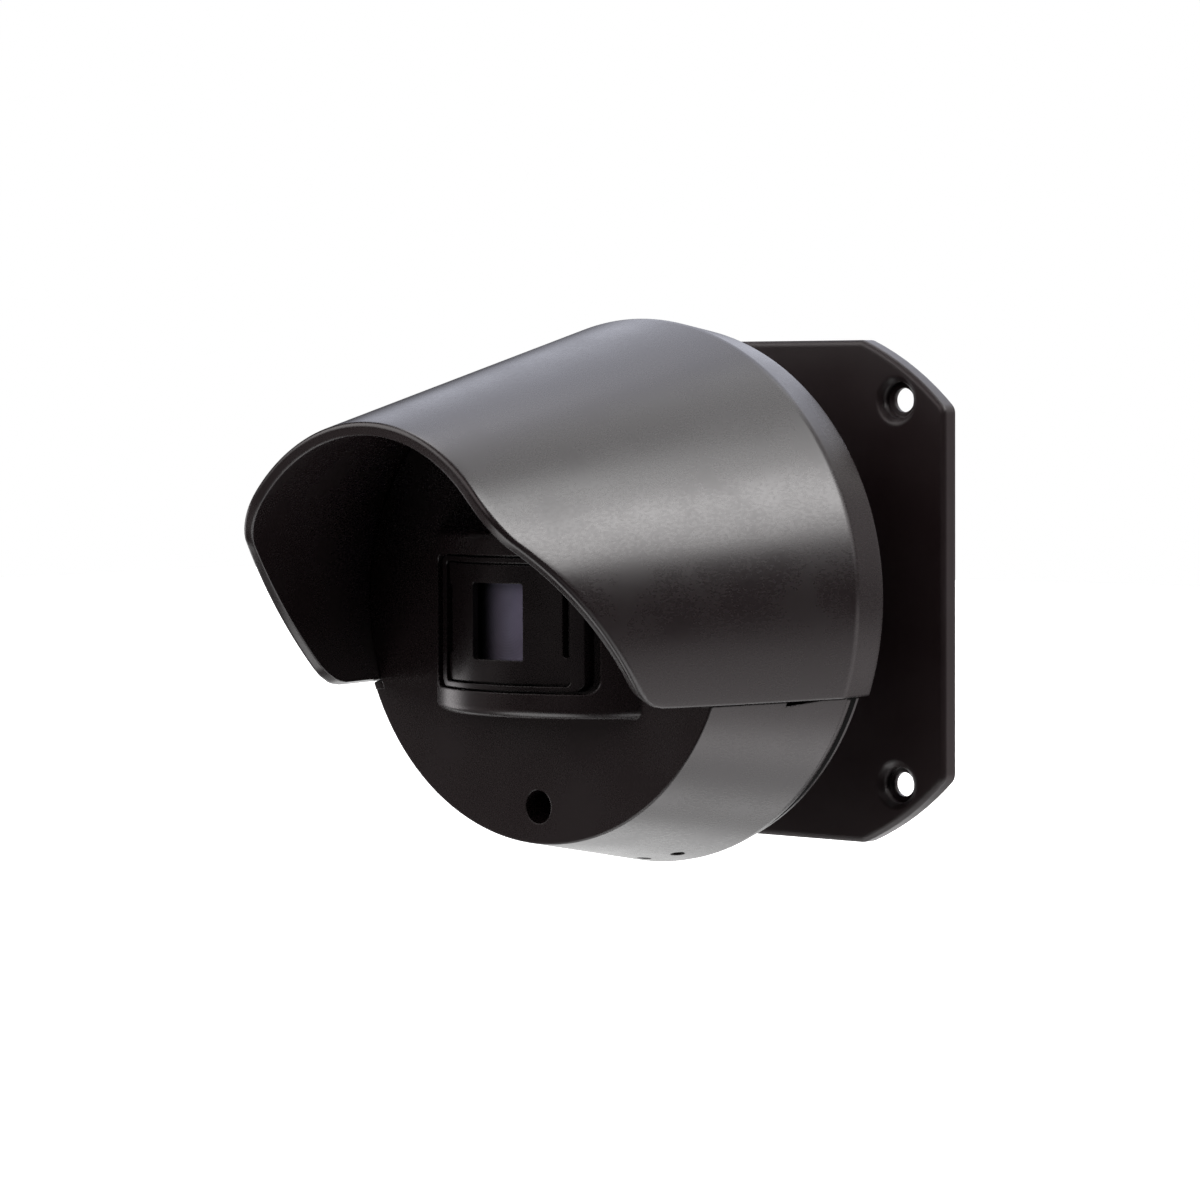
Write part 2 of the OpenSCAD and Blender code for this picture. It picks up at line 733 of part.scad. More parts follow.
module rear_housing() {
    flange_boss_front_d = flange_back_d + flange_screw_l + screw_tip_gap + rest_gap + boss_wall * half;
    color(plastic) difference() {
        union() {
            difference() {
                union() {
                    rim_disc(rim_top_r);
                    intersection() {
                        rim_disc(rim_r);
                        below(housing_cut_z);
                    }
                    from_wall() translate([0, 0, housing_back_d])
                        cylinder(r = spigot_r, h = spigot_front_d - housing_back_d);
                }
                from_wall() translate([0, 0, housing_floor_d])
                    cylinder(r = spigot_in_r, h = spigot_front_d);
            }
            at_standoffs() translate([0, 0, housing_floor_d - rest_gap])
                cylinder(r = standoff_r, h = board_back_d - housing_floor_d);
            at_flange_screws() translate([0, 0, housing_floor_d - flange_back_d - rest_gap])
                cylinder(r = screw_r + boss_wall, h = flange_boss_front_d - housing_floor_d);
            from_wall() translate([0, cover_screw_z, housing_floor_d - rest_gap])
                cylinder(r = cover_boss_r, h = cover_boss_front_d - housing_floor_d + rest_gap);
            battery_bay();
        }
        from_wall() translate([0, 0, seal_d - seal_groove_w * half]) difference() {
            cylinder(r = spigot_r + overrun, h = seal_groove_w);
            translate([0, 0, -overrun]) cylinder(r = seal_groove_r, h = seal_groove_w + 2 * overrun);
        }
        at_standoffs() translate([0, 0, board_front_d - board_screw_l - screw_tip_gap])
            cylinder(r = board_screw_r + pin_gap, h = board_screw_l + overrun);
        at_flange_screws() cylinder(r = screw_r + pin_gap, h = flange_screw_l + screw_tip_gap);
        from_wall() translate([0, cover_screw_z, cover_screw_seat_d - cover_screw_l - screw_tip_gap])
            cylinder(r = cover_screw_r + pin_gap, h = cover_screw_l + screw_tip_gap);
    }
}

module housing_seal() {
    color("#101010") from_wall() translate([0, 0, seal_d])
        rotate_extrude() translate([seal_groove_r + seal_wire_r + rest_gap, 0])
            circle(r = seal_wire_r, $fn = 24);
}

// Cone of the hood, its outside brought in by inset, on its drooping axis
module hood_cone(inset) {
    from_wall() translate([0, -droop_drop, crease_d]) rotate([hood_droop, 0, 0])
        translate([0, 0, -hood_spare])
            cylinder(r1 = crease_r - inset + hood_spare * hood_taper_share,
                r2 = crease_r - inset - (hood_reach + hood_spare) * hood_taper_share,
                h = hood_reach + 2 * hood_spare);
}

// Slice of the head between two distances from the wall
module slice(from_d, to_d) {
    from_wall() translate([0, 0, from_d]) cylinder(r = crease_r + hood_spare, h = to_d - from_d);
}

function face_edge() = [for (i = [0 : arc_steps]) let (a = 90 * i / arc_steps)
    [shell_face_r - face_edge_r + face_edge_r * cos(a), face_d - face_edge_r + face_edge_r * sin(a)]];

// Solid of the shell below the hood, and solid of the shell under the hood
module shell_lower_solid() {
    intersection() {
        from_wall() rotate_extrude() polygon(concat([[0, shell_back_d], [shell_back_r, shell_back_d]],
            face_edge(), [[0, face_d]]));
        below(hood_low_z - hood_gap);
    }
}

module shell_upper_solid() {
    intersection() {
        hood_cone(hood_wall + hood_gap);
        slice(shell_back_d, face_d);
    }
}

module turret_solid() {
    rise = turret_high_z - turret_low_z;
    arc = [for (i = [0 : arc_steps]) turret_edge_r * [cos(90 * i / arc_steps), sin(90 * i / arc_steps)]];
    side = [turret_r - turret_edge_r, turret_high_z - turret_edge_r];
    low = [turret_r - turret_edge_r, turret_low_z + turret_edge_r];
    intersection() {
        translate([0, -turret_axis_d, 0]) rotate_extrude() polygon(concat(
            [[0, turret_low_z]],
            [for (i = [arc_steps : -1 : 0]) low + [arc[i].x, -arc[i].y]],
            [for (p = arc) side + p],
            [[0, turret_high_z]]));
        slice(face_in_d, face_d + rise);
    }
}

// Shelf that reaches back from the face to a pivot of the lens carrier
module pivot_shelf(low) {
    translate([0, 0, low]) linear_extrude(turret_wall) {
        translate([0, -turret_axis_d]) circle(r = shelf_boss_r);
        polygon([[-shelf_root_half_w, -face_d + rest_gap], [shelf_root_half_w, -face_d + rest_gap],
            [shelf_boss_r * lug_neck_share, -turret_axis_d],
            [-shelf_boss_r * lug_neck_share, -turret_axis_d]]);
    }
}

module at_hood_screws() {
    for (a = hood_screw_angles) from_wall() rotate(a)
        translate([hood_screw_seat_r, 0, hood_screw_d]) rotate([0, 90, 0]) children();
}

module at_drains() {
    for (i = [0 : drain_count - 1])
        from_wall() translate([(i - (drain_count - 1) * half) * drain_pitch, 0, spigot_front_d + drain_set])
            rotate([90, 0, 0]) children();
}

// Small pry notches under the hood's lower edges
module pry_notches() {
    start = shell_back_d + notch_ahead + notch_l * half - rest_gap;
    rotate([90, 0, 90]) translate([0, 0, -plate_w]) linear_extrude(2 * plate_w)
        polygon([[-start, hood_low_z], [-start, hood_low_z - hood_gap - notch_h],
            [notch_l - start, hood_low_z - hood_gap], [notch_l - start, hood_low_z]]);
}

module front_shell() {
    color(plastic) difference() {
        union() {
            difference() {
                union() {
                    shell_lower_solid();
                    shell_upper_solid();
                }
                slice_bore();
                intersection() {
                    hood_cone(hood_wall + hood_gap + shell_wall);
                    slice(shell_bore_front_d - rest_gap, face_in_d);
                }
                intersection() {
                    from_wall() translate([0, 0, shell_bore_front_d])
                        cylinder(r1 = shell_in_r, r2 = shell_face_r - shell_wall,
                            h = face_in_d - shell_bore_front_d);
                    below(hood_low_z - hood_gap - shell_wall);
                }
            }
            turret_solid();
            pivot_shelf(turret_low_z);
            pivot_shelf(turret_high_z - turret_wall);
            from_wall() translate([0, cover_screw_z, tower_back_d])
                cylinder(r = cover_hole_d * half + tower_wall, h = face_in_d - tower_back_d + rest_gap);
            block([-1, 1] * tower_rib_w * half, [-shell_face_r + shell_wall * half, cover_screw_z],
                [cover_screw_seat_d + tower_floor, face_in_d + rest_gap]);
            at_hood_screws() cylinder(r = hood_pad_r, h = shell_wall);
        }
        on_turret_axis_void();
        window_prism(opening_half_w, opening_low_z, opening_high_z, opening_r,
            face_d + rest_gap, hood_front_d);
        translate([0, -turret_axis_d, turret_low_z - overrun])
            cylinder(d = pivot_d + 2 * pin_gap, h = turret_high_z - turret_low_z + 2 * overrun);
        from_wall() translate([0, cover_screw_z, cover_screw_seat_d])
            cylinder(d = cover_hole_d, h = face_d - cover_screw_seat_d + overrun);
        from_wall() translate([0, cover_screw_z, tower_back_d - overrun])
            cylinder(r = cover_screw_r + pin_gap, h = tower_floor + 2 * overrun);
        at_drains() translate([0, 0, shell_bore_r - overrun])
            cylinder(d = drain_d, h = 2 * shell_wall + 2 * overrun);
        at_hood_screws() translate([0, 0, -overrun])
            cylinder(r = hood_screw_r + pin_gap, h = hood_screw_l + 2 * overrun);
        pry_notches();
    }
}

module slice_bore() {
    from_wall() translate([0, 0, shell_back_d - overrun])
        cylinder(r = shell_bore_r, h = shell_bore_front_d - shell_back_d + overrun);
}

// Hollow of the turret, open through the face to the inside of the shell
module on_turret_axis_void() {
    intersection() {
        on_turret_axis(turret_in_r, turret_in_low, turret_in_high);
        slice(face_in_d - overrun, face_d + turret_r);
    }
}

module cover_screw() {
    color(steel) from_wall() translate([0, cover_screw_z, cover_screw_seat_d + rest_gap])
        rotate([180, 0, 0]) pan_screw(cover_screw_r, cover_screw_l, cover_screw_head_r, cover_screw_head_h);
}

// Outline of the hood seen from the side: distance from the wall and height
module hood_side() {
    foot_d = hood_front_d - hood_slope_foot;
    rotate([90, 0, 90]) translate([0, 0, -plate_w]) linear_extrude(2 * plate_w) mirror([1, 0])
        polygon(concat([[0, hood_low_z]],
            corner_arc([0, hood_low_z], [foot_d, hood_low_z], [hood_front_d, hood_slope_z], hood_round),
            corner_arc([foot_d, hood_low_z], [hood_front_d, hood_slope_z], [hood_front_d, plate_h],
                hood_round),
            [[hood_front_d, plate_h], [0, plate_h]]));
}

// Band behind the crease, its front end sunk in the hood's cone
module hood_band_solid() {
    from_wall() rotate_extrude() polygon([[0, hood_back_d], [band_back_r, hood_back_d],
        [crease_r, crease_d], [crease_r - band_sink, crease_d + band_lap], [0, crease_d + band_lap]]);
}

module hood() {
    color(plastic) difference() {
        intersection() {
            union() {
                hood_band_solid();
                intersection() {
                    hood_cone(0);
                    slice(crease_d, hood_front_d + hood_spare);
                }
            }
            hood_side();
        }
        intersection() {
            hood_cone(hood_wall);
            slice(shell_back_d, hood_front_d + 2 * hood_spare);
        }
        hood_band_inside();
        at_hood_screws() cylinder(r = hood_screw_r + pin_gap, h = hood_screw_l + screw_tip_gap * half);
    }
}

// Hollow of the band, clear of the rear housing's rim
module hood_band_inside() {
    from_wall() translate([0, 0, hood_back_d - overrun])
        cylinder(r1 = band_back_r - band_wall - overrun * band_slope_share,
            r2 = crease_r - band_wall - crease_step * band_slope_share,
            h = shell_back_d - hood_back_d + overrun + rest_gap);
}

module hood_screws() {
    color(steel) at_hood_screws() translate([0, 0, -rest_gap])
        pan_screw(hood_screw_r, hood_screw_l, hood_screw_head_r, hood_screw_head_h);
}

// Ring sector of the drum between two radii, in front of the pivot axis
module drum_ring(in_r, out_r, low, high, half_angle) {
    difference() {
        on_turret_axis(out_r, low, high);
        on_turret_axis(in_r, low - overrun, high + overrun);
        translate([0, -turret_axis_d, low - overrun]) linear_extrude(high - low + 2 * overrun)
            polygon([[0, 0], ring_cut_r * 2 * [sin(half_angle), -cos(half_angle)], ring_cut_r * [2, 2],
                ring_cut_r * [-2, 2], ring_cut_r * 2 * [-sin(half_angle), -cos(half_angle)]]);
    }
}

module carrier_arm(low) {
    translate([0, 0, low]) linear_extrude(arm_t) {
        translate([0, -turret_axis_d]) circle(r = arm_boss_r);
        translate([0, -turret_axis_d]) intersection() {
            circle(r = drum_r - drum_wall * half);
            polygon([[-arm_boss_r * lug_neck_share, 0], [arm_boss_r * lug_neck_share, 0],
                [arm_half_w, -drum_r], [-arm_half_w, -drum_r]]);
        }
    }
}

module lens_carrier() {
    color(dark_plastic) difference() {
        union() {
            drum_ring(drum_in_r, drum_r, drum_low, drum_high, drum_half_angle);
            intersection() {
                drum_ring(drum_r - drum_wall * half, frame_r, frame_low, frame_high, drum_half_angle);
                window_prism(frame_half_w, frame_low, frame_high, frame_round, face_d, hood_front_d);
            }
            carrier_arm(drum_low);
            carrier_arm(drum_high - arm_t);
            on_turret_axis(pivot_d * half, drum_low - pivot_l, drum_low + arm_t);
            on_turret_axis(pivot_d * half, drum_high - arm_t, drum_high + pivot_l);
        }
        difference() {
            window_prism(recess_half_w, recess_low, recess_high, recess_round, face_d, hood_front_d);
            on_turret_axis(drum_r, drum_low, drum_high);
        }
        window_prism(light_half_w, light_low, light_high, recess_round, face_d, hood_front_d);
    }
}

// Outline of the mask: full height at its ends, notched at its sides
function mask_points() = let (w = mask_half_w, n = mask_half_w - notch_depth)
    [[-w, mask_low], [w, mask_low], [w, notch_low], [n, notch_low], [n, notch_high], [w, notch_high],
    [w, mask_high], [-w, mask_high], [-w, notch_high], [-n, notch_high], [-n, notch_low], [-w, notch_low]];

module lens_mask() {
    color(dark_plastic) difference() {
        intersection() {
            drum_ring(mask_in_r, mask_out_r, mask_low, mask_high, drum_half_angle);
            from_wall() translate([0, 0, face_d]) linear_extrude(turret_r)
                polygon(rounded(mask_points(), notch_depth * half * lug_neck_share));
        }
        window_prism(window_half_w, window_low, window_low + window_h, recess_round * half,
            face_d, hood_front_d);
    }
}

module fresnel_lens() {
    color("#cdd3e6") drum_ring(lens_r - lens_t, lens_r, drum_low + arm_t + lens_edge_gap,
        drum_high - arm_t - lens_edge_gap, lens_half_angle);
}

module circuit_board() {
    color("#1f5a3a") difference() {
        intersection() {
            block([board_left_x, board_right_x], [board_low_z, board_high_z],
                [board_back_d, board_front_d]);
            slice_of_radius(board_r, board_back_d, board_front_d);
        }
        at_standoffs() translate([0, 0, board_back_d - overrun])
            cylinder(r = board_screw_r + pin_gap, h = board_t + 2 * overrun);
    }
}

module slice_of_radius(r, from_d, to_d) {
    from_wall() translate([0, 0, from_d]) cylinder(r = r, h = to_d - from_d);
}

module board_screws() {
    color(steel) at_standoffs() translate([0, 0, board_front_d + rest_gap]) rotate([180, 0, 0])
        pan_screw(board_screw_r, board_screw_l, board_screw_head_r, board_screw_head_h);
}

module at_sensor(d) { from_wall() translate([0, sight_z, d]) children(); }

module sensor_spacer() {
    color(dark_plastic) at_sensor(board_front_d) cylinder(r = sensor_flange_r, h = spacer_h);
}

module pir_sensor() {
    color(steel) difference() {
        at_sensor(board_front_d + spacer_h) union() {
            cylinder(r = sensor_flange_r, h = sensor_flange_h);
            cylinder(r = sensor_r, h = sensor_h);
        }
        sensor_glass_block(pin_gap * half, overrun);
    }
}

module sensor_glass_block(grow, proud) {
    front_d = board_front_d + spacer_h + sensor_h;
    block(span(0, sensor_glass_w * half + grow), span(sight_z, sensor_glass_h * half + grow),
        [front_d - sensor_glass_t - grow, front_d + proud]);
}

module sensor_window() { color("#3a3348") sensor_glass_block(0, 0); }

module indicator_lamp() {
    color("#a02020") from_wall() translate([lamp_x, lamp_z, board_front_d]) {
        cylinder(r = lamp_r, h = lamp_h);
        translate([0, 0, lamp_h]) sphere(r = lamp_r);
    }
}

module radio_module() {
    color("#9aa0a6") {
        block(run(radio_x, radio_w), run(radio_z, radio_l), run(board_front_d, radio_base_t));
        block(span(radio_x + radio_w * half, radio_w * half - radio_margin),
            span(radio_z + radio_l * half, radio_l * half - radio_margin),
            run(board_front_d + radio_base_t * half, radio_can_h));
    }
}

// Wire bent round the upper board, its ends held in two short posts
module antenna_wire() {
    color("#b87333") from_wall() {
        translate([0, 0, board_front_d + antenna_rise]) rotate(antenna_start)
            rotate_extrude(angle = antenna_sweep) translate([antenna_r, 0])
                circle(r = antenna_wire_r, $fn = 24);
        for (a = [antenna_start, antenna_start + antenna_sweep]) rotate(a)
            translate([antenna_r, 0, board_front_d])
                cylinder(r = antenna_post_r, h = antenna_rise + antenna_post_r);
    }
}

module controller_chip() {
    pin_step = chip_w / chip_pins;
    color("#202020") {
        block(run(chip_x, chip_w), run(chip_z, chip_w), run(board_front_d + chip_pin_t, chip_t));
        for (i = [0 : chip_pins - 1], s = [0, 1])
            block(span(chip_x + (i + half) * pin_step, chip_pin_w * half),
                span(chip_z + s * chip_w, chip_pin_l), run(board_front_d, 2 * chip_pin_t));
    }
}

module capacitors() {
    color("#30343c") for (p = capacitor_at) from_wall() translate([p.x, p.y, board_front_d])
        cylinder(r = capacitor_r, h = capacitor_h);
}

module mode_switch() {
    slot_x = [switch_x - lever_w * half - pin_gap, switch_x + lever_w * half + lever_travel + pin_gap];
    slot_z = span(switch_z, lever_l * half + pin_gap);
    color("#8d9094") difference() {
        block(span(switch_x + lever_travel * half, switch_w * half), span(switch_z, switch_l * half),
            run(board_front_d, switch_h));
        block(slot_x, slot_z,
            run(board_front_d + switch_h - lever_sink - loose_gap, lever_sink + loose_gap + overrun));
    }
}

module mode_lever() {
    color("#101010") block(span(switch_x, lever_w * half), span(switch_z, lever_l * half),
        run(board_front_d + switch_h - lever_sink, lever_sink + lever_rise));
}

module at_dial(d) { from_wall() translate([dial_x, dial_z, d]) children(); }

module dial_base() {
    color("#3560a0") difference() {
        block(span(dial_x, dial_base_w * half), span(dial_z, dial_base_w * half),
            run(board_front_d, dial_base_h));
        at_dial(board_front_d + dial_base_h - dial_stem_l - loose_gap)
            cylinder(r = dial_stem_r + pin_gap, h = dial_stem_l + loose_gap + overrun);
    }
}

module range_dial() {
    color("#e8e8e4") difference() {
        at_dial(board_front_d + dial_base_h + pin_gap) union() {
            cylinder(r = dial_r, h = dial_h);
            translate([0, 0, -dial_stem_l]) cylinder(r = dial_stem_r, h = dial_stem_l + dial_h * half);
        }
        at_dial(board_front_d + dial_base_h + pin_gap + dial_h - dial_slot_depth)
            translate([-dial_r * 2, -dial_slot_w * half, 0])
                cube([4 * dial_r, dial_slot_w, dial_slot_depth + overrun]);
    }
}

module at_studs() {
    for (s = [-1, 1])
        translate([battery_x + s * stud_pitch * half, -battery_mid_d, battery_top_z]) children();
}

module battery() {
    points = rounded([[-battery_w * half, -battery_t * half], [battery_w * half, -battery_t * half],
        [battery_w * half, battery_t * half], [-battery_w * half, battery_t * half]], battery_edge);
    color("#4a4e57") {
        translate([battery_x, -battery_mid_d, battery_z - battery_l * half])
            linear_extrude(battery_l) polygon(points);
        at_studs() translate([0, 0, -rest_gap]) cylinder(r = stud_r, h = stud_h + rest_gap);
    }
}

module battery_snap() {
    low = battery_top_z + loose_gap;
    color("#181818") difference() {
        block(span(battery_x, snap_w * half), run(low, snap_h), span(battery_mid_d, snap_l * half));
        at_studs() translate([0, 0, -overrun])
            cylinder(r = stud_r + pin_gap, h = stud_h + loose_gap + overrun);
    }
}

module battery_leads() {
    mid_z = battery_top_z + loose_gap + snap_h * half;
    start_x = battery_x + snap_w * half;
    run_d = board_front_d + lead_bend_r + lead_r;
    colours = ["#b02020", "#151515"];
    for (i = [0, 1]) color(colours[i])
        from_wall() translate([start_x, mid_z + (i - half) * lead_pitch, run_d]) {
            rotate([0, 90, 0]) cylinder(r = lead_r, h = lead_run, $fn = 24);
            translate([lead_run, 0, -lead_bend_r]) rotate([90, 0, 0])
                rotate_extrude(angle = 90, $fn = 48) translate([lead_bend_r, 0])
                    circle(r = lead_r, $fn = 24);
            translate([lead_run + lead_bend_r, 0, board_front_d - run_d])
                cylinder(r = lead_r, h = run_d - lead_bend_r - board_front_d, $fn = 24);
        }
}

module battery_pad() {
    color("#55585c") block(span(pad_x, pad_w * half), span(battery_z, pad_l * half),
        [battery_back_d + battery_t + loose_gap, face_in_d]);
}

wall_plate();
bracket_foot();
foot_screws();
swivel_block();
pan_bolt();
pan_nut();
pan_washers();
tilt_bracket();
tilt_bracket_screws();
tilt_bolt();
tilt_nut();
tilt_washers();
rear_housing();
housing_seal();
front_shell();
cover_screw();
hood();
hood_screws();
lens_carrier();
lens_mask();
fresnel_lens();
circuit_board();
board_screws();
sensor_spacer();
pir_sensor();
sensor_window();
indicator_lamp();
radio_module();
antenna_wire();
controller_chip();
capacitors();
mode_switch();
mode_lever();
dial_base();
range_dial();
battery();
battery_snap();
battery_leads();
battery_pad();
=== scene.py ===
# %% [markdown]
# A battery powered motion sensor for an outside wall. Its head is a short cone with a rain hood
# over a small lens turret, and it stands off a square plate on a swivel. The shapes come from the
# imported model, in metres and in the wall's frame: +Z up, the wall at Y = 0, the head towards -Y.
# What this file adds is what the eye reads as plastic, steel and film: soft edges, grain and light.
# The photograph hides the swivel and all that is inside the head, so those finishes are guesses
# from the kind of object.

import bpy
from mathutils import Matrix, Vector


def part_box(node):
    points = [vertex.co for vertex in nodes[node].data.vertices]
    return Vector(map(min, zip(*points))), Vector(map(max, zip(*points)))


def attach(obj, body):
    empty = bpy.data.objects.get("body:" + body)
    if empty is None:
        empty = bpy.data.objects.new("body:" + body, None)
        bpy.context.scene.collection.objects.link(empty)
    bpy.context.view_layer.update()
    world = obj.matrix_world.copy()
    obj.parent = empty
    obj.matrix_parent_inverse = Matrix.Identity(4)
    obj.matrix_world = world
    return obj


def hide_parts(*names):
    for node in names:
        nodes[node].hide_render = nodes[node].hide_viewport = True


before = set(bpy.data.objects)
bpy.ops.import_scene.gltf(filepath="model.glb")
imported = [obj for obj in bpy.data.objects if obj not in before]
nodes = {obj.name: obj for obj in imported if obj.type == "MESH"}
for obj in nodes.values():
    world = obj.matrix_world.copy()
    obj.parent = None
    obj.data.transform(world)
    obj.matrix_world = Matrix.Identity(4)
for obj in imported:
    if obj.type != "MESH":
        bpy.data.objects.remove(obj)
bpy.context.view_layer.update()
print("pieces in the frame:", len(nodes))

# %% Values and small helpers
import math

import bpy
import numpy as np
from mathutils import Matrix, Vector

MM = 0.001


def colour(hex_text):
    """sRGB hex to the linear colour that a shader expects."""
    parts = [int(hex_text[i:i + 2], 16) / 255 for i in (1, 3, 5)]
    linear = [c / 12.92 if c <= 0.04045 else ((c + 0.055) / 1.055) ** 2.4 for c in parts]
    return (*linear, 1.0)


def in_mm(lengths, digits=1):
    """Lengths in metres as rounded millimetres, for the printouts."""
    return [round(length / MM, digits) for length in lengths]


# %% [markdown]
# The photograph was taken from the right and a little above, with a long lens. The camera stands
# on a circle round the object: azimuth 0 looks along +Y, and the aim is a point beside the head.

# %% Camera
CAMERA_AZIMUTH = math.radians(40.816)
CAMERA_ELEVATION = math.radians(2.754)
CAMERA_ROLL = math.radians(-0.225)
CAMERA_DISTANCE = 890.853 * MM
AIM_RIGHT = -31.259 * MM
AIM_UP = -2.485 * MM
FOCAL_SHARE = 4376.294 / 1200
SENSOR_WIDTH = 36.0
NEAR_CLIP = 50 * MM

bpy.ops.object.camera_add()
camera = bpy.context.object
camera.name = "camera"
swing = Matrix.Rotation(CAMERA_AZIMUTH, 4, "Z")
level = swing @ Matrix.Rotation(math.pi / 2 - CAMERA_ELEVATION, 4, "X")
right, up, back = (level.to_3x3() @ Vector(v) for v in ((1, 0, 0), (0, 1, 0), (0, 0, 1)))
camera.matrix_world = (Matrix.Translation(right * AIM_RIGHT + up * AIM_UP + back * CAMERA_DISTANCE)
                       @ level @ Matrix.Rotation(CAMERA_ROLL, 4, "Z"))
camera.data.sensor_width = SENSOR_WIDTH
camera.data.lens = FOCAL_SHARE * SENSOR_WIDTH
camera.data.clip_start = NEAR_CLIP
bpy.context.scene.camera = camera
print("camera at", [round(c, 4) for c in camera.matrix_world.translation])

# %% [markdown]
# Black plastic shows mostly what it mirrors, so the studio is planned by direction. Soft boxes hang
# above and behind the object's right shoulder, paler ones behind it, and the room in front of it is
# nearly unlit, so that its face stays deep while its rounded sides pick up light. Area lamps could
# do this, and here the world does: each soft box is a round patch of sky with a soft border, given
# by its compass angle, height, half width and brightness. Such lamps are infinitely far away, so
# they light the object evenly in every view. The camera sees a plain white backdrop instead.
# The list was found by fitting: each patch was rendered alone, their strengths were fitted to the
# tones of the photograph, and a few were then changed. So the match of tones shows the fit
# and doesn't prove the plastic's gloss or colour. In mirrors the backdrop isn't white but unlit.

# %% Small node builder


def add_node(tree, kind, links=None, **settings):
    """Adds a node, sets its properties and sockets, and links sockets by name or number."""
    node = tree.nodes.new(kind)
    sockets = settings.pop("sockets", {})
    for name, value in settings.items():
        setattr(node, name, value)
    for name, value in sockets.items():
        node.inputs[name].default_value = value
    for name, source in (links or {}).items():
        tree.links.new(source, node.inputs[name])
    return node


def fresh_tree(owner):
    """The empty node tree of a world or a material."""
    owner.use_nodes = True
    owner.node_tree.nodes.clear()
    return owner.node_tree


def seen_by_eye(tree):
    """1 for camera and transmission rays, 0 for the rays that light and mirror the object."""
    path = add_node(tree, "ShaderNodeLightPath")
    return add_node(tree, "ShaderNodeMath", {
        0: path.outputs["Is Camera Ray"], 1: path.outputs["Is Transmission Ray"]},
        operation="MAXIMUM").outputs[0]


# %% The soft boxes
# Each row: degrees round from straight behind towards the right, degrees up, half width in
# degrees, brightness and tint.
SOFT_BOXES = [
    (63, 56, 11, 6.8, "#ffffff"), (63, 44, 11, 2.6, "#fffdfd"), (63, 32, 11, 8.8, "#fffdfd"),
    (46, 20, 11, 1.7, "#fffafb"), (12, 56, 11, 2.0, "#ffffff"), (12, 32, 11, 0.8, "#fffcf8"),
    (12, 8, 11, 0.4, "#fff8f9"), (-45, 70, 14, 3.2, "#fffdff"), (-25, 35, 26, 1.5, "#eef1ff"),
    (-130, 35, 26, 2.5, "#fffafa"), (170, 32, 24, 1.3, "#fff0f1"), (40, -28, 24, 1.0, "#fff8f9"),
    (-45, -28, 24, 1.4, "#ffffff"), (-135, -28, 24, 0.2, "#ffeeee"), (20, -58, 20, 1.3, "#fffdfe"),
    (80, -58, 20, 2.2, "#fffdfe"), (95, -30, 14, 0.5, "#fffafb"), (-92, -10, 13, 2.1, "#fffafc"),
    (-30, -58, 20, 0.8, "#fffefe"), (-150, -58, 20, 2.6, "#fffefe"),
]
# A patch fades over this many degrees to each side of its edge. The room is this bright by itself.
BORDER = 5
ROOM = 0.02

scene = bpy.context.scene
scene.view_settings.view_transform = "Standard"
world = bpy.data.worlds.new("studio")
scene.world = world
tree = fresh_tree(world)
direction = add_node(tree, "ShaderNodeTexCoord").outputs["Generated"]
total = add_node(tree, "ShaderNodeCombineXYZ", sockets={0: ROOM, 1: ROOM, 2: ROOM}).outputs[0]
for around, above, half_width, brightness, tint in SOFT_BOXES:
    turn, lift = math.radians(around), math.radians(above)
    lamp = (math.sin(turn) * math.cos(lift), math.cos(turn) * math.cos(lift), math.sin(lift))
    facing = add_node(tree, "ShaderNodeVectorMath", {0: direction}, operation="DOT_PRODUCT",
                      sockets={1: lamp})
    patch = add_node(tree, "ShaderNodeMapRange", {"Value": facing.outputs["Value"]},
                     interpolation_type="SMOOTHSTEP", sockets={
        "From Min": math.cos(math.radians(half_width + BORDER)),
        "From Max": math.cos(math.radians(half_width - BORDER)), "To Max": brightness})
    total = add_node(tree, "ShaderNodeVectorMath", {1: patch.outputs[0], 2: total},
                     operation="MULTIPLY_ADD", sockets={0: colour(tint)[:3]}).outputs[0]
sky = add_node(tree, "ShaderNodeBackground", {"Color": total})
white = add_node(tree, "ShaderNodeBackground", sockets={"Color": (1, 1, 1, 1), "Strength": 1.0})
mixed = add_node(tree, "ShaderNodeMixShader",
                 {0: seen_by_eye(tree), 1: sky.outputs[0], 2: white.outputs[0]})
add_node(tree, "ShaderNodeOutputWorld", {"Surface": mixed.outputs[0]})
print("soft boxes:", len(SOFT_BOXES))

# %% [markdown]
# The object hangs on a wall, so nothing of it touches the floor, which lies well below. The floor
# is pale and is there for the eye alone: for light it is clear like a glass table, so the low lamps
# reach the object from beneath.

# %% Floor
FLOOR_Z, FLOOR_SIZE, FLOOR_GLOW = -160 * MM, 6, 0.9
bpy.ops.mesh.primitive_plane_add(size=FLOOR_SIZE, location=(0, 0, FLOOR_Z))
floor = bpy.context.object
floor.name = "floor"
floor_paint = bpy.data.materials.new("pale_floor")
tree = fresh_tree(floor_paint)
chalk = add_node(tree, "ShaderNodeBsdfDiffuse", sockets={"Color": colour("#f4f4f4")})
glow = add_node(tree, "ShaderNodeEmission",
                sockets={"Color": (1, 1, 1, 1), "Strength": FLOOR_GLOW})
lit = add_node(tree, "ShaderNodeAddShader", {0: chalk.outputs[0], 1: glow.outputs[0]})
clear = add_node(tree, "ShaderNodeBsdfTransparent")
mixed = add_node(tree, "ShaderNodeMixShader",
                 {0: seen_by_eye(tree), 1: clear.outputs[0], 2: lit.outputs[0]})
add_node(tree, "ShaderNodeOutputMaterial", {"Surface": mixed.outputs[0]})
floor.data.materials.append(floor_paint)
print("floor at", FLOOR_Z, "m")

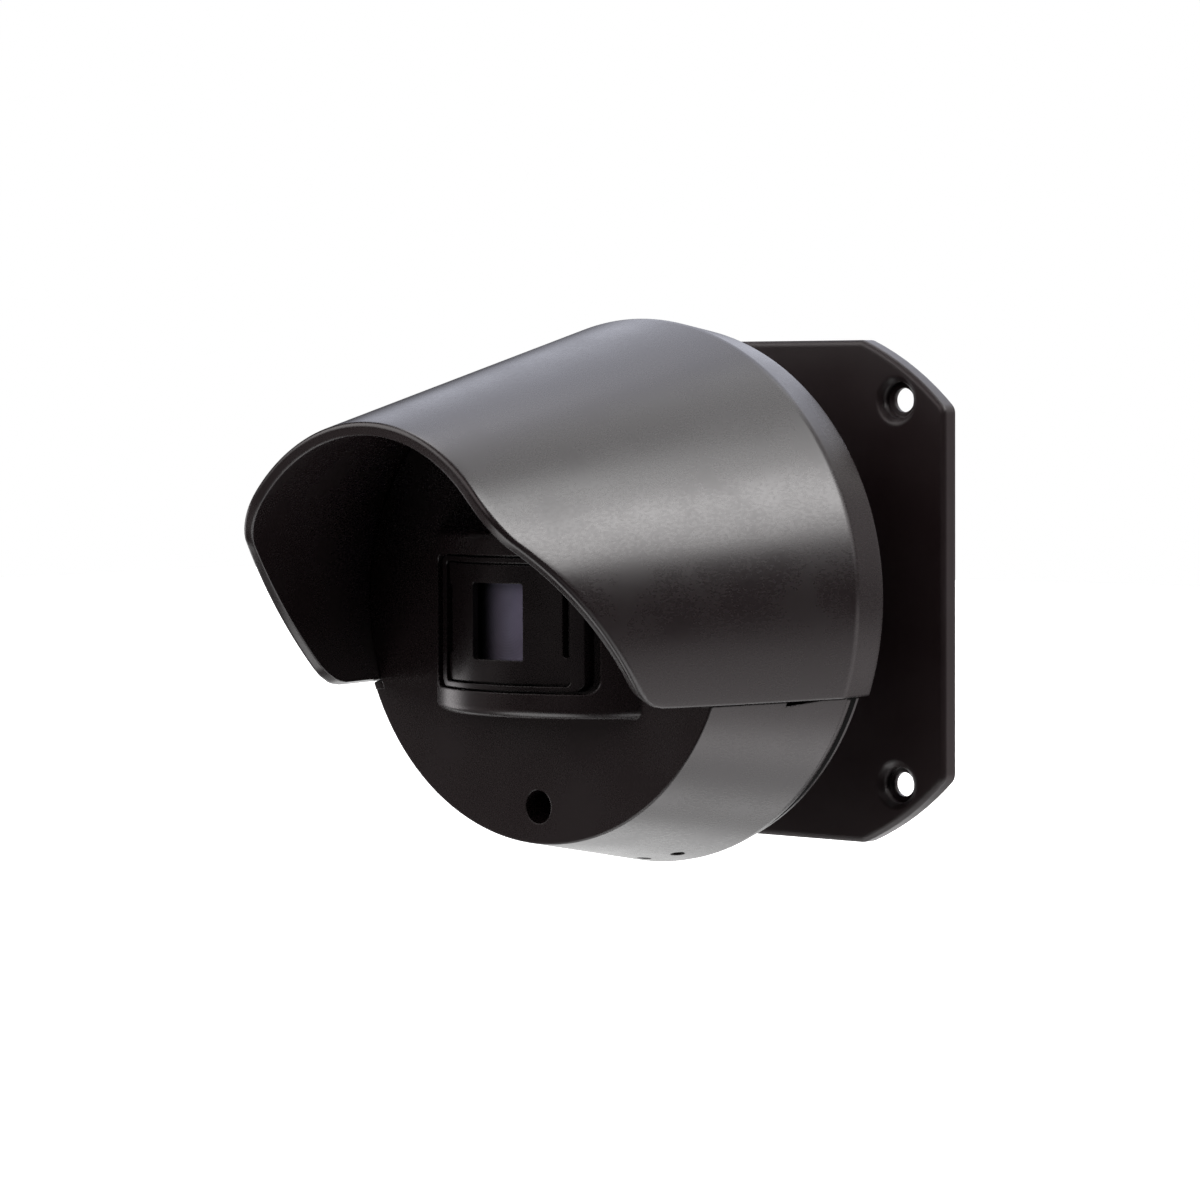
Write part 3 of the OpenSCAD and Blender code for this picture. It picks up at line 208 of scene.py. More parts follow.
# %% [markdown]
# The rain hood is the largest form: a moulded cone whose front is cut by a slope, with soft round
# corners, and whose moulded edge is rounded outside and flat inside. A cut cone has long thin
# faces at its edge, which a bevel can't follow. A grid can: its columns run round the cone, its
# rows run along it, and its last row lies exactly on the edge. So a plain grid is added, each of
# its points is carried to the cone by its column and row, and Solidify and Bevel do the rest.

# %% Hood: the edge seen from the side
# Millimetres from the wall, radii in millimetres, and one value for each side: 1 right, -1 left.
HOOD_BACK, HOOD_CREASE, HOOD_FRONT = 25.85, 35.65, 114.84
BACK_RADIUS, CREASE_RADIUS, TAPER = 52.72, 54.0, 0.221
DROOP = math.radians(1.57)
AXIS_DROP = 0.14
SLOPE = math.radians(46.9)
LOW_ROUND, HIGH_ROUND = 11.0, 13.5
LOW_EDGES = {1: -18.72, -1: -17.6}
SLOPE_TOPS = {1: 16.95, -1: 16.1}
CORNER_STEPS = 24


def rounded_corner(before, corner, after, radius):
    """Points of the arc that rounds one corner of an outline."""
    a, b = (before - corner).normalized(), (after - corner).normalized()
    half = a.angle(b) / 2
    centre = corner + (a + b).normalized() * radius / math.sin(half)
    start = corner + a * radius / math.tan(half) - centre
    finish = corner + b * radius / math.tan(half) - centre
    first, last = math.atan2(start.y, start.x), math.atan2(finish.y, finish.x)
    sweep = (last - first + math.pi) % (2 * math.pi) - math.pi
    turns = [first + sweep * k / CORNER_STEPS for k in range(CORNER_STEPS + 1)]
    return [centre + radius * Vector((math.cos(turn), math.sin(turn))) for turn in turns]


# %% Hood: from the outline to the cone
# From RIM_HIGH up the rim lies at the hood's front all the way, so no more points are needed.
# OVERHEAD is any height over the hood: the corner that is rounded turns straight up towards it.
RIM_HIGH, RIM_STEPS = 45, 60
OVERHEAD = 60


def on_cone(side, depth):
    """Point of the drooping cone at an angle from level, at a distance from the wall."""
    lift = math.sin(side) * math.sin(DROOP)
    along = (depth - HOOD_CREASE - CREASE_RADIUS * lift) / (math.cos(DROOP) - TAPER * lift)
    radius = CREASE_RADIUS - TAPER * along
    height = radius * math.sin(side) * math.cos(DROOP) - along * math.sin(DROOP) - AXIS_DROP
    return Vector((radius * math.cos(side), -depth, height))


def side_of(depth, height):
    """Angle from level of the cone's point at a depth and height, or the top where it is higher."""
    out = depth - HOOD_CREASE
    up = out * math.sin(DROOP) + (height + AXIS_DROP) * math.cos(DROOP)
    along = out * math.cos(DROOP) - (height + AXIS_DROP) * math.sin(DROOP)
    return math.asin(min(1.0, up / (CREASE_RADIUS - TAPER * along)))


def edge_lines(low, slope_top):
    """The lower edge's arc, and the rim as angles and depths, for one side of the hood."""
    foot = Vector((HOOD_FRONT - (slope_top - low) / math.tan(SLOPE), low))
    knee = Vector((HOOD_FRONT, slope_top))
    low_arc = rounded_corner(Vector((HOOD_BACK, low)), foot, knee, LOW_ROUND)
    high_arc = rounded_corner(foot, knee, Vector((HOOD_FRONT, OVERHEAD)), HIGH_ROUND)
    middle = len(low_arc) // 2
    heights = np.linspace(high_arc[-1].y, RIM_HIGH, RIM_STEPS)[1:]
    steep = [Vector((HOOD_FRONT, height)) for height in heights]
    rim = low_arc[middle:] + high_arc + steep
    return {"low": low, "arc": low_arc[:middle + 1], "sides": [side_of(p.x, p.y) for p in rim],
            "depths": [p.x for p in rim]}


EDGES = {side: edge_lines(LOW_EDGES[side], SLOPE_TOPS[side]) for side in (1, -1)}
for side, lines in EDGES.items():
    print("side", side, "lower edge ends at", [round(c, 2) for c in lines["arc"][0]],
          "rim starts at", round(lines["depths"][0], 2), "mm and",
          round(math.degrees(lines["sides"][0]), 2), "degrees")

# %% Hood: the grid
# Rows of the band are millimetres from the wall, and rows of the cone are shares of its length.
COLUMNS = 112
BAND_ROWS = [HOOD_BACK, 27.2, 29.5, 32.5, 34.7, HOOD_CREASE]
CONE_ROWS = [0.0, 0.012, 0.04] + list(np.linspace(0.08, 1.0, 24))
ROWS = len(BAND_ROWS) + len(CONE_ROWS) - 1


def deselect_all():
    for obj in bpy.context.selected_objects:
        obj.select_set(False)


def between(first, last, share):
    return first * (1 - share) + last * share


def hood_point(share, row, lines):
    """share runs from the lower edge (0) to the top (1), row from the band to the rim."""
    first = side_of(HOOD_CREASE, lines["low"])
    crease_side = between(first, math.pi / 2, share)
    if row < len(BAND_ROWS):
        back = between(math.asin(lines["low"] / BACK_RADIUS), math.pi / 2, share)
        back_point = Vector((BACK_RADIUS * math.cos(back), -HOOD_BACK,
                             BACK_RADIUS * math.sin(back)))
        reach = (BAND_ROWS[row] - HOOD_BACK) / (HOOD_CREASE - HOOD_BACK)
        return back_point.lerp(on_cone(crease_side, HOOD_CREASE), reach)
    u = CONE_ROWS[row - len(BAND_ROWS) + 1]
    low_depth = between(HOOD_CREASE, lines["depths"][0], u)
    low_height = float(np.interp(low_depth, [p.x for p in lines["arc"]],
                                 [p.y for p in lines["arc"]]))
    side_rim = between(lines["sides"][0], math.pi / 2, share)
    rim_depth = float(np.interp(side_rim, lines["sides"], lines["depths"]))
    side = between(crease_side, side_rim, u)
    side += (1 - share) * (side_of(low_depth, low_height) - between(first, lines["sides"][0], u))
    return on_cone(side, between(HOOD_CREASE, rim_depth, u))


deselect_all()
bpy.ops.mesh.primitive_grid_add(x_subdivisions=COLUMNS, y_subdivisions=ROWS - 1, size=2)
hood = bpy.context.object
hood.name = "rain_hood"
places = sorted({round(v.co.x, 5) for v in hood.data.vertices})
levels = sorted({round(v.co.y, 5) for v in hood.data.vertices})
print("grid of", len(places), "by", len(levels), "points")
for vertex in hood.data.vertices:
    column = places.index(round(vertex.co.x, 5)) / (len(places) - 1) * 2
    side = 1 if column >= 1 else -1
    point = hood_point(min(column, 2 - column), levels.index(round(vertex.co.y, 5)), EDGES[side])
    vertex.co = Vector((side * point.x, point.y, point.z)) * MM

# %% Hood: wall and soft edges
HOOD_WALL, BAND_WALL, RIM_ROUND = 2.5, 1.6, 1.0
THIN_UNTIL, FULL_FROM = HOOD_CREASE - 3, HOOD_CREASE + 2.4
DOUBLES = 0.01 * MM
wall_group = hood.vertex_groups.new(name="wall")
for vertex in hood.data.vertices:
    depth = -vertex.co.y / MM
    share = float(np.interp(depth, [THIN_UNTIL, FULL_FROM], [BAND_WALL / HOOD_WALL, 1.0]))
    wall_group.add([vertex.index], share, "REPLACE")


def apply_modifier(piece, kind, **settings):
    """Adds a modifier, sets it and applies it."""
    modifier = piece.modifiers.new(kind.lower(), kind)
    for name, value in settings.items():
        setattr(modifier, name, value)
    bpy.context.view_layer.objects.active = piece
    bpy.ops.object.modifier_apply(modifier=modifier.name)


def outwards(piece):
    """Merges doubles and points all faces outwards."""
    deselect_all()
    piece.select_set(True)
    bpy.context.view_layer.objects.active = piece
    bpy.ops.object.mode_set(mode="EDIT")
    bpy.ops.mesh.select_all(action="SELECT")
    bpy.ops.mesh.remove_doubles(threshold=DOUBLES)
    bpy.ops.mesh.normals_make_consistent(inside=False)
    bpy.ops.object.mode_set(mode="OBJECT")


outwards(hood)
top_face = max(hood.data.polygons, key=lambda face: face.center.z)
if top_face.normal.z < 0:
    hood.data.flip_normals()
apply_modifier(hood, "SOLIDIFY", thickness=HOOD_WALL * MM, offset=-1.0, use_even_offset=True,
               vertex_group="wall", thickness_vertex_group=0.0)
print("walled hood:", len(hood.data.polygons), "faces")

# %% Hood: rounded edges
ROUND_BY_PLACE = {"rim": 1.0, "lower": 0.45, "band": 0.35, "inside": 0.3}
# Angles between neighbouring faces: from where the hood's edges are rounded, from where shading
# shows an edge, and the same for soft and small pieces.
SHARP, FOLD, SOFT_FOLD = math.radians(45), math.radians(34), math.radians(50)
BAND_REACH = 0.5
outer_count = len(hood.data.vertices) // 2
deselect_all()
hood.select_set(True)
bpy.context.view_layer.objects.active = hood
bpy.ops.object.mode_set(mode="EDIT")
bpy.ops.mesh.select_all(action="DESELECT")
bpy.ops.mesh.select_mode(type="EDGE")
bpy.ops.mesh.edges_select_sharp(sharpness=SHARP)
bpy.ops.object.mode_set(mode="OBJECT")
round_share = hood.data.attributes.new("bevel_weight_edge", "FLOAT", "EDGE")
rounded = 0
for edge in hood.data.edges:
    if not edge.select:
        continue
    ends = [hood.data.vertices[i] for i in edge.vertices]
    depth = -sum(v.co.y for v in ends) / 2 / MM
    if max(edge.vertices) >= outer_count:
        place = "inside"
    elif depth < HOOD_BACK + BAND_REACH:
        place = "band"
    else:
        place = "rim" if depth > EDGES[1]["arc"][0].x else "lower"
    round_share.data[edge.index].value = ROUND_BY_PLACE[place]
    rounded += 1
apply_modifier(hood, "BEVEL", width=RIM_ROUND * MM, segments=4, limit_method="WEIGHT",
               use_clamp_overlap=False)
outwards(hood)
bpy.ops.object.shade_smooth_by_angle(angle=FOLD)
apply_modifier(hood, "WEIGHTED_NORMAL", mode="FACE_AREA", weight=50, keep_sharp=True)
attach(hood, "front_cover")
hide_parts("hood")


def box_mm(piece):
    """Lowest and highest value of each axis, for the printouts."""
    axes = zip(*[vertex.co for vertex in piece.data.vertices])
    return [in_mm((min(values), max(values)), 2) for values in axes]


print("hood:", rounded, "edges rounded,", len(hood.data.polygons), "faces, box mm", box_mm(hood))

# %% [markdown]
# Where the cover meets the rear housing, the cover's lower edge reaches back as a thin skirt, and
# between it and the rim behind it lies a dark line of shade in the gap. That shade is painted: a
# matt black ring stands in the seam as painted shade, in a black nitrile finish. What makes the
# line can't be told: it may be an open gap. It is drawn here with a matt black ring, which is a
# guess. Both are arcs of one section, so each starts as a plane of that section and is spun round
# the head's axis. The arcs end under the hood's lower edges, where the hood's own band takes over.

# %% Skirt and shade ring: sizes
# The shell's cone starts at a depth with a radius and narrows by its taper. The skirt stands a
# hair over it, and stays inside the whole object's box.
ARC_FROM, ARC_TO, ARC_STEPS = math.radians(20.9), math.radians(160.1), 120
SHELL_BACK, SHELL_BACK_RADIUS, SHELL_TAPER = 33.25, 53.16, 0.181
SKIRT_FRONT, SKIRT_BACK, SKIRT_INSIDE = 33.6, 31.95, 52.35
SKIRT_LIFT, SKIRT_LIMIT, SKIRT_SOFT = 0.02, 53.13, 0.18
# The ring of painted shade in the seam: its depths, radii and soft edge, in millimetres.
SHADE_RING_FRONT, SHADE_RING_BACK, SHADE_RING_INSIDE, SHADE_RING_OUTSIDE = 31.8, 29.15, 52.0, 52.26
SHADE_RING_SOFT = 0.06


def skirt_radius(depth):
    return min(SHELL_BACK_RADIUS + (SHELL_BACK - depth) * SHELL_TAPER + SKIRT_LIFT, SKIRT_LIMIT)


print("skirt's edge from", round(skirt_radius(SKIRT_FRONT), 2), "to",
      round(skirt_radius(SKIRT_BACK), 2), "mm from the axis")

# %% Skirt and shade ring: the two arcs


def spun_arc(name, corners, soft_mm):
    """Spins a four cornered section, given as radius and depth, from one arc end to the other."""
    deselect_all()
    bpy.ops.mesh.primitive_plane_add(size=2)
    piece = bpy.context.object
    piece.name = name
    for vertex in piece.data.vertices:
        radius, depth = corners[(vertex.co.x > 0, vertex.co.y > 0)]
        vertex.co = Vector((radius, -depth, 0)) * MM
    piece.data.transform(Matrix.Rotation(ARC_FROM, 4, "Y"))
    bpy.ops.object.mode_set(mode="EDIT")
    bpy.ops.mesh.select_all(action="SELECT")
    bpy.ops.mesh.spin(steps=ARC_STEPS, angle=ARC_FROM - ARC_TO, center=(0, 0, 0), axis=(0, 1, 0))
    bpy.ops.object.mode_set(mode="OBJECT")
    outwards(piece)
    apply_modifier(piece, "BEVEL", width=soft_mm * MM, segments=3, limit_method="ANGLE",
                   angle_limit=SOFT_FOLD)
    bpy.ops.object.shade_smooth_by_angle(angle=FOLD)
    print(name, "box mm", box_mm(piece))
    return piece


skirt = spun_arc("shell_skirt", {
    (False, False): (SKIRT_INSIDE, SKIRT_FRONT),
    (True, False): (skirt_radius(SKIRT_FRONT), SKIRT_FRONT),
    (False, True): (SKIRT_INSIDE, SKIRT_BACK),
    (True, True): (skirt_radius(SKIRT_BACK), SKIRT_BACK)}, SKIRT_SOFT)
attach(skirt, "front_cover")
shade_ring = spun_arc("seam_shade_ring", {
    (False, False): (SHADE_RING_INSIDE, SHADE_RING_FRONT), (True, False): (SHADE_RING_OUTSIDE, SHADE_RING_FRONT),
    (False, True): (SHADE_RING_INSIDE, SHADE_RING_BACK), (True, True): (SHADE_RING_OUTSIDE, SHADE_RING_BACK)},
    SHADE_RING_SOFT)
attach(shade_ring, "head")

# %% [markdown]
# The hood's left edge sits about a millimetre higher than its right one, so a gap would show
# between it and the cover, where the photograph has none. A narrow lip fills it, which is a guess
# at how the real one closes. A cube becomes the lip: its corners are carried to two levels and two
# depths on the cover's cone, and its edges are softened.

# %% Lip under the hood's left edge
# The lip's top is higher at its inner face, because the hood's wall makes its inner edge higher.
LIP_LOW, LIP_HIGH, LIP_SLOPE = -19.2, -17.66, 0.9
LIP_BACK, LIP_FRONT, LIP_WALL = 33.3, 66.17, 2.8
LIP_LIFT, LIP_SOFT = 0.01, 0.3
deselect_all()
bpy.ops.mesh.primitive_cube_add(size=2)
lip = bpy.context.object
lip.name = "shell_lip"
for vertex in lip.data.vertices:
    inner = vertex.co.x > 0
    height = LIP_HIGH + (LIP_SLOPE if inner else 0) if vertex.co.z > 0 else LIP_LOW
    depth = LIP_FRONT if vertex.co.y < 0 else LIP_BACK
    radius = SHELL_BACK_RADIUS - (depth - SHELL_BACK) * SHELL_TAPER + LIP_LIFT
    across = math.sqrt(radius ** 2 - height ** 2) - (LIP_WALL if inner else 0)
    vertex.co = Vector((-across, -depth, height)) * MM
outwards(lip)
apply_modifier(lip, "BEVEL", width=LIP_SOFT * MM, segments=3, limit_method="ANGLE",
               angle_limit=SOFT_FOLD)
bpy.ops.object.shade_smooth_by_angle(angle=FOLD)
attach(lip, "front_cover")
print("lip box mm", box_mm(lip))

# %% [markdown]
# Two soft things sit behind the cover: a foam pad that keeps the battery from rattling, and the two
# short leads from the battery snap. A pad is a block that was cut from sheet foam, so its faces
# bulge a little and its edges are soft: a cube is bevelled and subdivided, and its faces swell by
# their distance from the edges. A lead is a round wire on a bent path, so it is a curve with a
# round section, made a mesh when its path is right.

# %% Foam pad
low_corner, high_corner = (Vector(c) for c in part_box("battery_pad"))
pad_size, pad_middle = high_corner - low_corner, (low_corner + high_corner) / 2
PAD_INSET, PAD_SWELL, PAD_SOFT, PAD_CUTS = 0.35, 0.3, 1.2, 7
deselect_all()
bpy.ops.mesh.primitive_cube_add(size=1, location=pad_middle)
pad = bpy.context.object
pad.name = "foam_pad"
pad.scale = [side - 2 * PAD_INSET * MM for side in pad_size]
bpy.ops.object.transform_apply(location=True, rotation=True, scale=True)
apply_modifier(pad, "BEVEL", width=PAD_SOFT * MM, segments=3, limit_method="ANGLE")
bpy.ops.object.mode_set(mode="EDIT")
bpy.ops.mesh.select_all(action="SELECT")
bpy.ops.mesh.subdivide(number_cuts=PAD_CUTS)
bpy.ops.object.mode_set(mode="OBJECT")
for vertex in pad.data.vertices:
    shares = [2 * (vertex.co[i] - pad_middle[i]) / pad_size[i] for i in range(3)]
    crown = [1 - min(1, abs(share)) ** 2 for share in shares]
    for i in range(3):
        others = [crown[j] for j in range(3) if j != i]
        vertex.co[i] += PAD_SWELL * MM * shares[i] * others[0] * others[1]
outwards(pad)
bpy.ops.object.shade_smooth_by_angle(angle=SOFT_FOLD)
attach(pad, "front_cover")
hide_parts("battery_pad")
print("foam pad mm", in_mm(pad.dimensions))

# %% Battery leads
lead_low, lead_high = (Vector(c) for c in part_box("battery_leads"))
LEAD_RADIUS, LEAD_BEND, LEAD_INSET = 0.68, 1.8, 0.7
BEND_STEPS, LEAD_ROUNDNESS = 8, 5
inset = LEAD_INSET * MM
quarter = [math.pi / 2 * k / BEND_STEPS for k in range(BEND_STEPS + 1)]
leads = []
for part_name, height in (("lead_red", lead_high.z - inset), ("lead_black", lead_low.z + inset)):
    start = Vector((lead_low.x, lead_low.y + inset, height))
    corner = Vector((lead_high.x - inset, lead_low.y + inset, height))
    finish = Vector((lead_high.x - inset, lead_high.y, height))
    centre = corner + Vector((-LEAD_BEND, LEAD_BEND, 0)) * MM
    bend = [centre + Vector((math.sin(a), -math.cos(a), 0)) * LEAD_BEND * MM for a in quarter]
    route = [start] + bend + [finish]
    deselect_all()
    bpy.ops.curve.primitive_bezier_curve_add()
    lead = bpy.context.object
    lead.name = part_name
    lead.data.splines.clear()
    lead.data.bevel_depth = LEAD_RADIUS * MM
    lead.data.bevel_resolution = LEAD_ROUNDNESS
    lead.data.use_fill_caps = True
    spline = lead.data.splines.new("POLY")
    spline.points.add(len(route) - 1)
    for point, place in zip(spline.points, route):
        point.co = (*place, 1)
    bpy.ops.object.convert(target="MESH")
    outwards(lead)
    bpy.ops.object.shade_smooth_by_angle(angle=SOFT_FOLD)
    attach(lead, "head")
    leads.append(lead)
for lead in leads:
    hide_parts("battery_leads")
print("leads from", in_mm(lead_low), "to", in_mm(lead_high))

# %% [markdown]
# The housing is taken to be ABS, the usual plastic for one, injection moulded in a spark eroded
# mould. The mould leaves a fine grain that is drawn out a little along the flow of the plastic, so
# highlights spread and sparkle. The plastic is a black with some brown in it. Every moulded edge
# has a small radius, which a sharp edge of the model lacks: the Bevel node turns the normals near
# an edge, so that the edge catches light.

# %% Starting and ending a material
# A Mix node has its sockets by number: the two colours that go in, and the colour that comes out.
FIRST_TONE, SECOND_TONE, MIXED = 6, 7, 2


def new_material(name, **sockets):
    """A material with a Principled shader, and the shader's sockets that are the same all over."""
    material = bpy.data.materials.new(name)
    tree = fresh_tree(material)
    shader = add_node(tree, "ShaderNodeBsdfPrincipled", sockets=sockets)
    add_node(tree, "ShaderNodeOutputMaterial", {"Surface": shader.outputs[0]})
    return material, tree, shader


def dress(tree, shader, tint, gloss=None, bump=None):
    """Links the finished colour, gloss and bump to the shader."""
    tree.links.new(tint.outputs[MIXED], shader.inputs["Base Color"])
    if gloss:
        tree.links.new(gloss.outputs[0], shader.inputs["Roughness"])
    if bump:
        tree.links.new(bump.outputs[0], shader.inputs["Normal"])


print("colours in and out of a Mix node:", FIRST_TONE, SECOND_TONE, MIXED)

# %% Moulded plastics
# The slow change of tone and gloss, in millimetres, and how far gloss drifts with it and the grain.
SLOW_MM, GLOSS_DRIFT, GRAIN_GLOSS = 14, 0.03, 0.02


def moulded(name, tone, second_tone, rough, grain_mm, grain_height_mm, edge_mm, flow=1.0, ior=1.54):
    """Moulded plastic: two close tones, an eroded grain, a slow change of gloss and soft edges."""
    material, tree, shader = new_material(name, IOR=ior)
    place = add_node(tree, "ShaderNodeTexCoord").outputs["Object"]
    drawn = add_node(tree, "ShaderNodeMapping", {"Vector": place}, sockets={"Scale": (1, flow, 1)})
    grain = add_node(tree, "ShaderNodeTexNoise", {"Vector": drawn.outputs[0]},
                     sockets={"Scale": 1 / (grain_mm * MM), "Detail": 1.0, "Roughness": 0.5})
    slow = add_node(tree, "ShaderNodeTexNoise", {"Vector": place},
                    sockets={"Scale": 1 / (SLOW_MM * MM), "Detail": 2.0})
    tint = add_node(tree, "ShaderNodeMix", {"Factor": slow.outputs["Fac"]}, data_type="RGBA",
                    sockets={FIRST_TONE: colour(tone), SECOND_TONE: colour(second_tone)})
    slow_gloss = add_node(tree, "ShaderNodeMapRange", {"Value": slow.outputs["Fac"]}, sockets={
        "From Min": 0.3, "From Max": 0.7, "To Min": rough - GLOSS_DRIFT,
        "To Max": rough + GLOSS_DRIFT})
    spark = add_node(tree, "ShaderNodeMapRange", {"Value": grain.outputs["Fac"]}, sockets={
        "From Min": 0.35, "From Max": 0.65, "To Min": -GRAIN_GLOSS, "To Max": GRAIN_GLOSS})
    gloss = add_node(tree, "ShaderNodeMath", {0: slow_gloss.outputs[0], 1: spark.outputs[0]},
                     operation="ADD")
    soft_edge = add_node(tree, "ShaderNodeBevel", samples=4, sockets={"Radius": edge_mm * MM})
    bump = add_node(tree, "ShaderNodeBump",
                    {"Height": grain.outputs["Fac"], "Normal": soft_edge.outputs[0]},
                    sockets={"Strength": 1.0, "Distance": grain_height_mm * MM})
    dress(tree, shader, tint, gloss, bump)
    return material


# Black ABS with a brown cast, spark eroded: satin, with a visible grain in its highlights.
housing_abs = moulded("spark_eroded_abs", "#1d1617", "#1f191a", 0.275, 0.5, 0.003, 0.35,
                      flow=0.4)
# The same ABS from a finer mould: flatter and a little deeper.
bracket_abs = moulded("fine_eroded_abs", "#1f1517", "#241a1b", 0.36, 0.3, 0.003, 1.0)
# The turret's insert is polished ABS, so that dust doesn't hold on to it: darker and smoother.
insert_abs = moulded("smooth_abs", "#140f10", "#171213", 0.28, 0.25, 0.0015, 0.3)
print("plastics:", housing_abs.name, bracket_abs.name, insert_abs.name)

# %% [markdown]
# The small hardware is zinc plated steel. Plating is a thin clear passivated layer over a turned or
# pressed part, so it is a metal with fine turning lines, soft clouds and a faint yellow and blue
# cast. Tin and nickel plated cans are brighter and more even.

# %% Plated metals
# How far gloss clouds to each side, and how the lines are stretched along the drawing direction.
GLOSS_CLOUD, LINE_DRAW = 0.08, 0.08


def plated(name, tone, second_tone, rough, cloud_mm, line_mm, line_height_mm):
    """A plated metal: clouds between two tones, fine lines and clouded gloss."""
    material, tree, shader = new_material(name, Metallic=1.0)
    place = add_node(tree, "ShaderNodeTexCoord").outputs["Object"]
    cloud = add_node(tree, "ShaderNodeTexNoise", {"Vector": place},
                     sockets={"Scale": 1 / (cloud_mm * MM), "Detail": 3.0})
    tint = add_node(tree, "ShaderNodeMix", {"Factor": cloud.outputs["Fac"]}, data_type="RGBA",
                    sockets={FIRST_TONE: colour(tone), SECOND_TONE: colour(second_tone)})
    gloss = add_node(tree, "ShaderNodeMapRange", {"Value": cloud.outputs["Fac"]},
                     sockets={"To Min": rough - GLOSS_CLOUD, "To Max": rough + GLOSS_CLOUD})
    drawn = add_node(tree, "ShaderNodeMapping", {"Vector": place},
                     sockets={"Scale": (1, LINE_DRAW, 1)})
    line = add_node(tree, "ShaderNodeTexNoise", {"Vector": drawn.outputs[0]},
                    sockets={"Scale": 1 / (line_mm * MM), "Detail": 2.0})
    bump = add_node(tree, "ShaderNodeBump", {"Height": line.outputs["Fac"]},
                    sockets={"Distance": line_height_mm * MM})
    dress(tree, shader, tint, gloss, bump)
    return material


# Zinc with a clear passivation: grey with a yellow and blue cast, half matt.
zinc = plated("zinc_plated_steel", "#b4b4ae", "#a9aeb6", 0.34, 1.2, 0.12, 0.004)
# Hot tinned sheet of the radio and switch cans: bright, with a slight wipe pattern.
tin = plated("tinned_steel_sheet", "#c3c5c6", "#b4b7ba", 0.3, 2.5, 0.3, 0.0008)
# Nickel plated cap of the sensor: drawn and smooth.
nickel = plated("nickel_plated_cap", "#c6c0b4", "#bab4a8", 0.2, 1.8, 0.2, 0.002)
# Drawn copper wire, a little dulled by air.
copper = plated("drawn_copper_wire", "#c4805c", "#b06a48", 0.3, 0.9, 0.1, 0.004)
print("metals:", zinc.name, tin.name, nickel.name, copper.name)

# %% [markdown]
# The lens of such a sensor is a strip of polyethylene film, one of the few common plastics that
# body heat passes through. Rings are pressed into it, about half a millimetre apart, which gives it
# a silky, ribbed sheen. Its colour is smoke, and its left part is painted black as painted shade,
# which fades into the smoke towards the right. Whether that is the film, something behind it or a
# shadow can't be told, so it is painted across the film as it is seen.

# %% Lens film
# Blender's wave is the sine of 20 times the scaled distance, so the rings' pitch sets the scale.
RING_PITCH, WAVE_FACTOR = 0.55, 20
# Shares of the film's width between which it goes from painted shade (black) to smoke.
SHADE_TO, SMOKE_FROM = 0.3, 0.62
lens_low, lens_high = (Vector(c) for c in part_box("fresnel_lens"))
lens_film, tree, shader = new_material("ribbed_polyethylene_film", IOR=1.51)
place = add_node(tree, "ShaderNodeTexCoord").outputs["Object"]
lens_middle = (lens_low + lens_high) / 2
centred = add_node(tree, "ShaderNodeMapping", {"Vector": place},
                   sockets={"Location": tuple(-lens_middle)})
rings = add_node(tree, "ShaderNodeTexWave", {"Vector": centred.outputs[0]}, wave_type="RINGS",
                 rings_direction="Y",
                 sockets={"Scale": 2 * math.pi / (RING_PITCH * MM) / WAVE_FACTOR})
cloud = add_node(tree, "ShaderNodeTexNoise", {"Vector": place}, sockets={"Scale": 1 / (3 * MM)})
smoke = add_node(tree, "ShaderNodeMix", {"Factor": cloud.outputs["Fac"]}, data_type="RGBA",
                 sockets={FIRST_TONE: colour("#6f6c82"), SECOND_TONE: colour("#7c7990")})
# Painted shade: the film is black at its left and fades into its smoke colour towards the right.
across = add_node(tree, "ShaderNodeSeparateXYZ", {0: place})
painted_shade = add_node(tree, "ShaderNodeMapRange", {"Value": across.outputs["X"]},
                interpolation_type="SMOOTHSTEP", sockets={
    "From Min": between(lens_low.x, lens_high.x, SHADE_TO),
    "From Max": between(lens_low.x, lens_high.x, SMOKE_FROM)})
tint = add_node(tree, "ShaderNodeMix",
                {"Factor": painted_shade.outputs[0], SECOND_TONE: smoke.outputs[MIXED]},
                data_type="RGBA", sockets={FIRST_TONE: colour("#08080a")})
gloss = add_node(tree, "ShaderNodeMapRange", {"Value": rings.outputs["Fac"]},
                 sockets={"To Min": 0.34, "To Max": 0.48})
bump = add_node(tree, "ShaderNodeBump", {"Height": rings.outputs["Fac"]},
                sockets={"Distance": 0.012 * MM})
dress(tree, shader, tint, gloss, bump)
print("lens film mm", in_mm(lens_high - lens_low))

# %% [markdown]
# The circuit board is glass laminate under a green solder mask. Copper tracks show through it as
# slightly lighter, raised lines that run square to each other. Bricks make such lines: one pattern
# of long bricks upright and one lying, at the spacing of real tracks.

# %% Circuit board
TRACK_LENGTH, TRACK_WIDTH, TRACK_HEIGHT = 9 * MM, 0.22 * MM, 0.035 * MM
LYING_PITCH, UPRIGHT_PITCH = 2.1 * MM, 3.4 * MM
QUARTER_TURN = math.pi / 2
board_mask, tree, shader = new_material("green_solder_mask", IOR=1.5, Roughness=0.3)
place = add_node(tree, "ShaderNodeTexCoord").outputs["Object"]
flat = add_node(tree, "ShaderNodeMapping", {"Vector": place},
                sockets={"Rotation": (QUARTER_TURN, 0, 0)})
turned = add_node(tree, "ShaderNodeMapping", {"Vector": flat.outputs[0]},
                  sockets={"Rotation": (0, 0, QUARTER_TURN)})
tracks = []
for source, pitch in ((flat, LYING_PITCH), (turned, UPRIGHT_PITCH)):
    tracks.append(add_node(tree, "ShaderNodeTexBrick", {"Vector": source.outputs[0]}, sockets={
        "Scale": 1.0, "Brick Width": TRACK_LENGTH, "Row Height": pitch,
        "Mortar Size": TRACK_WIDTH, "Mortar Smooth": 0.1}))
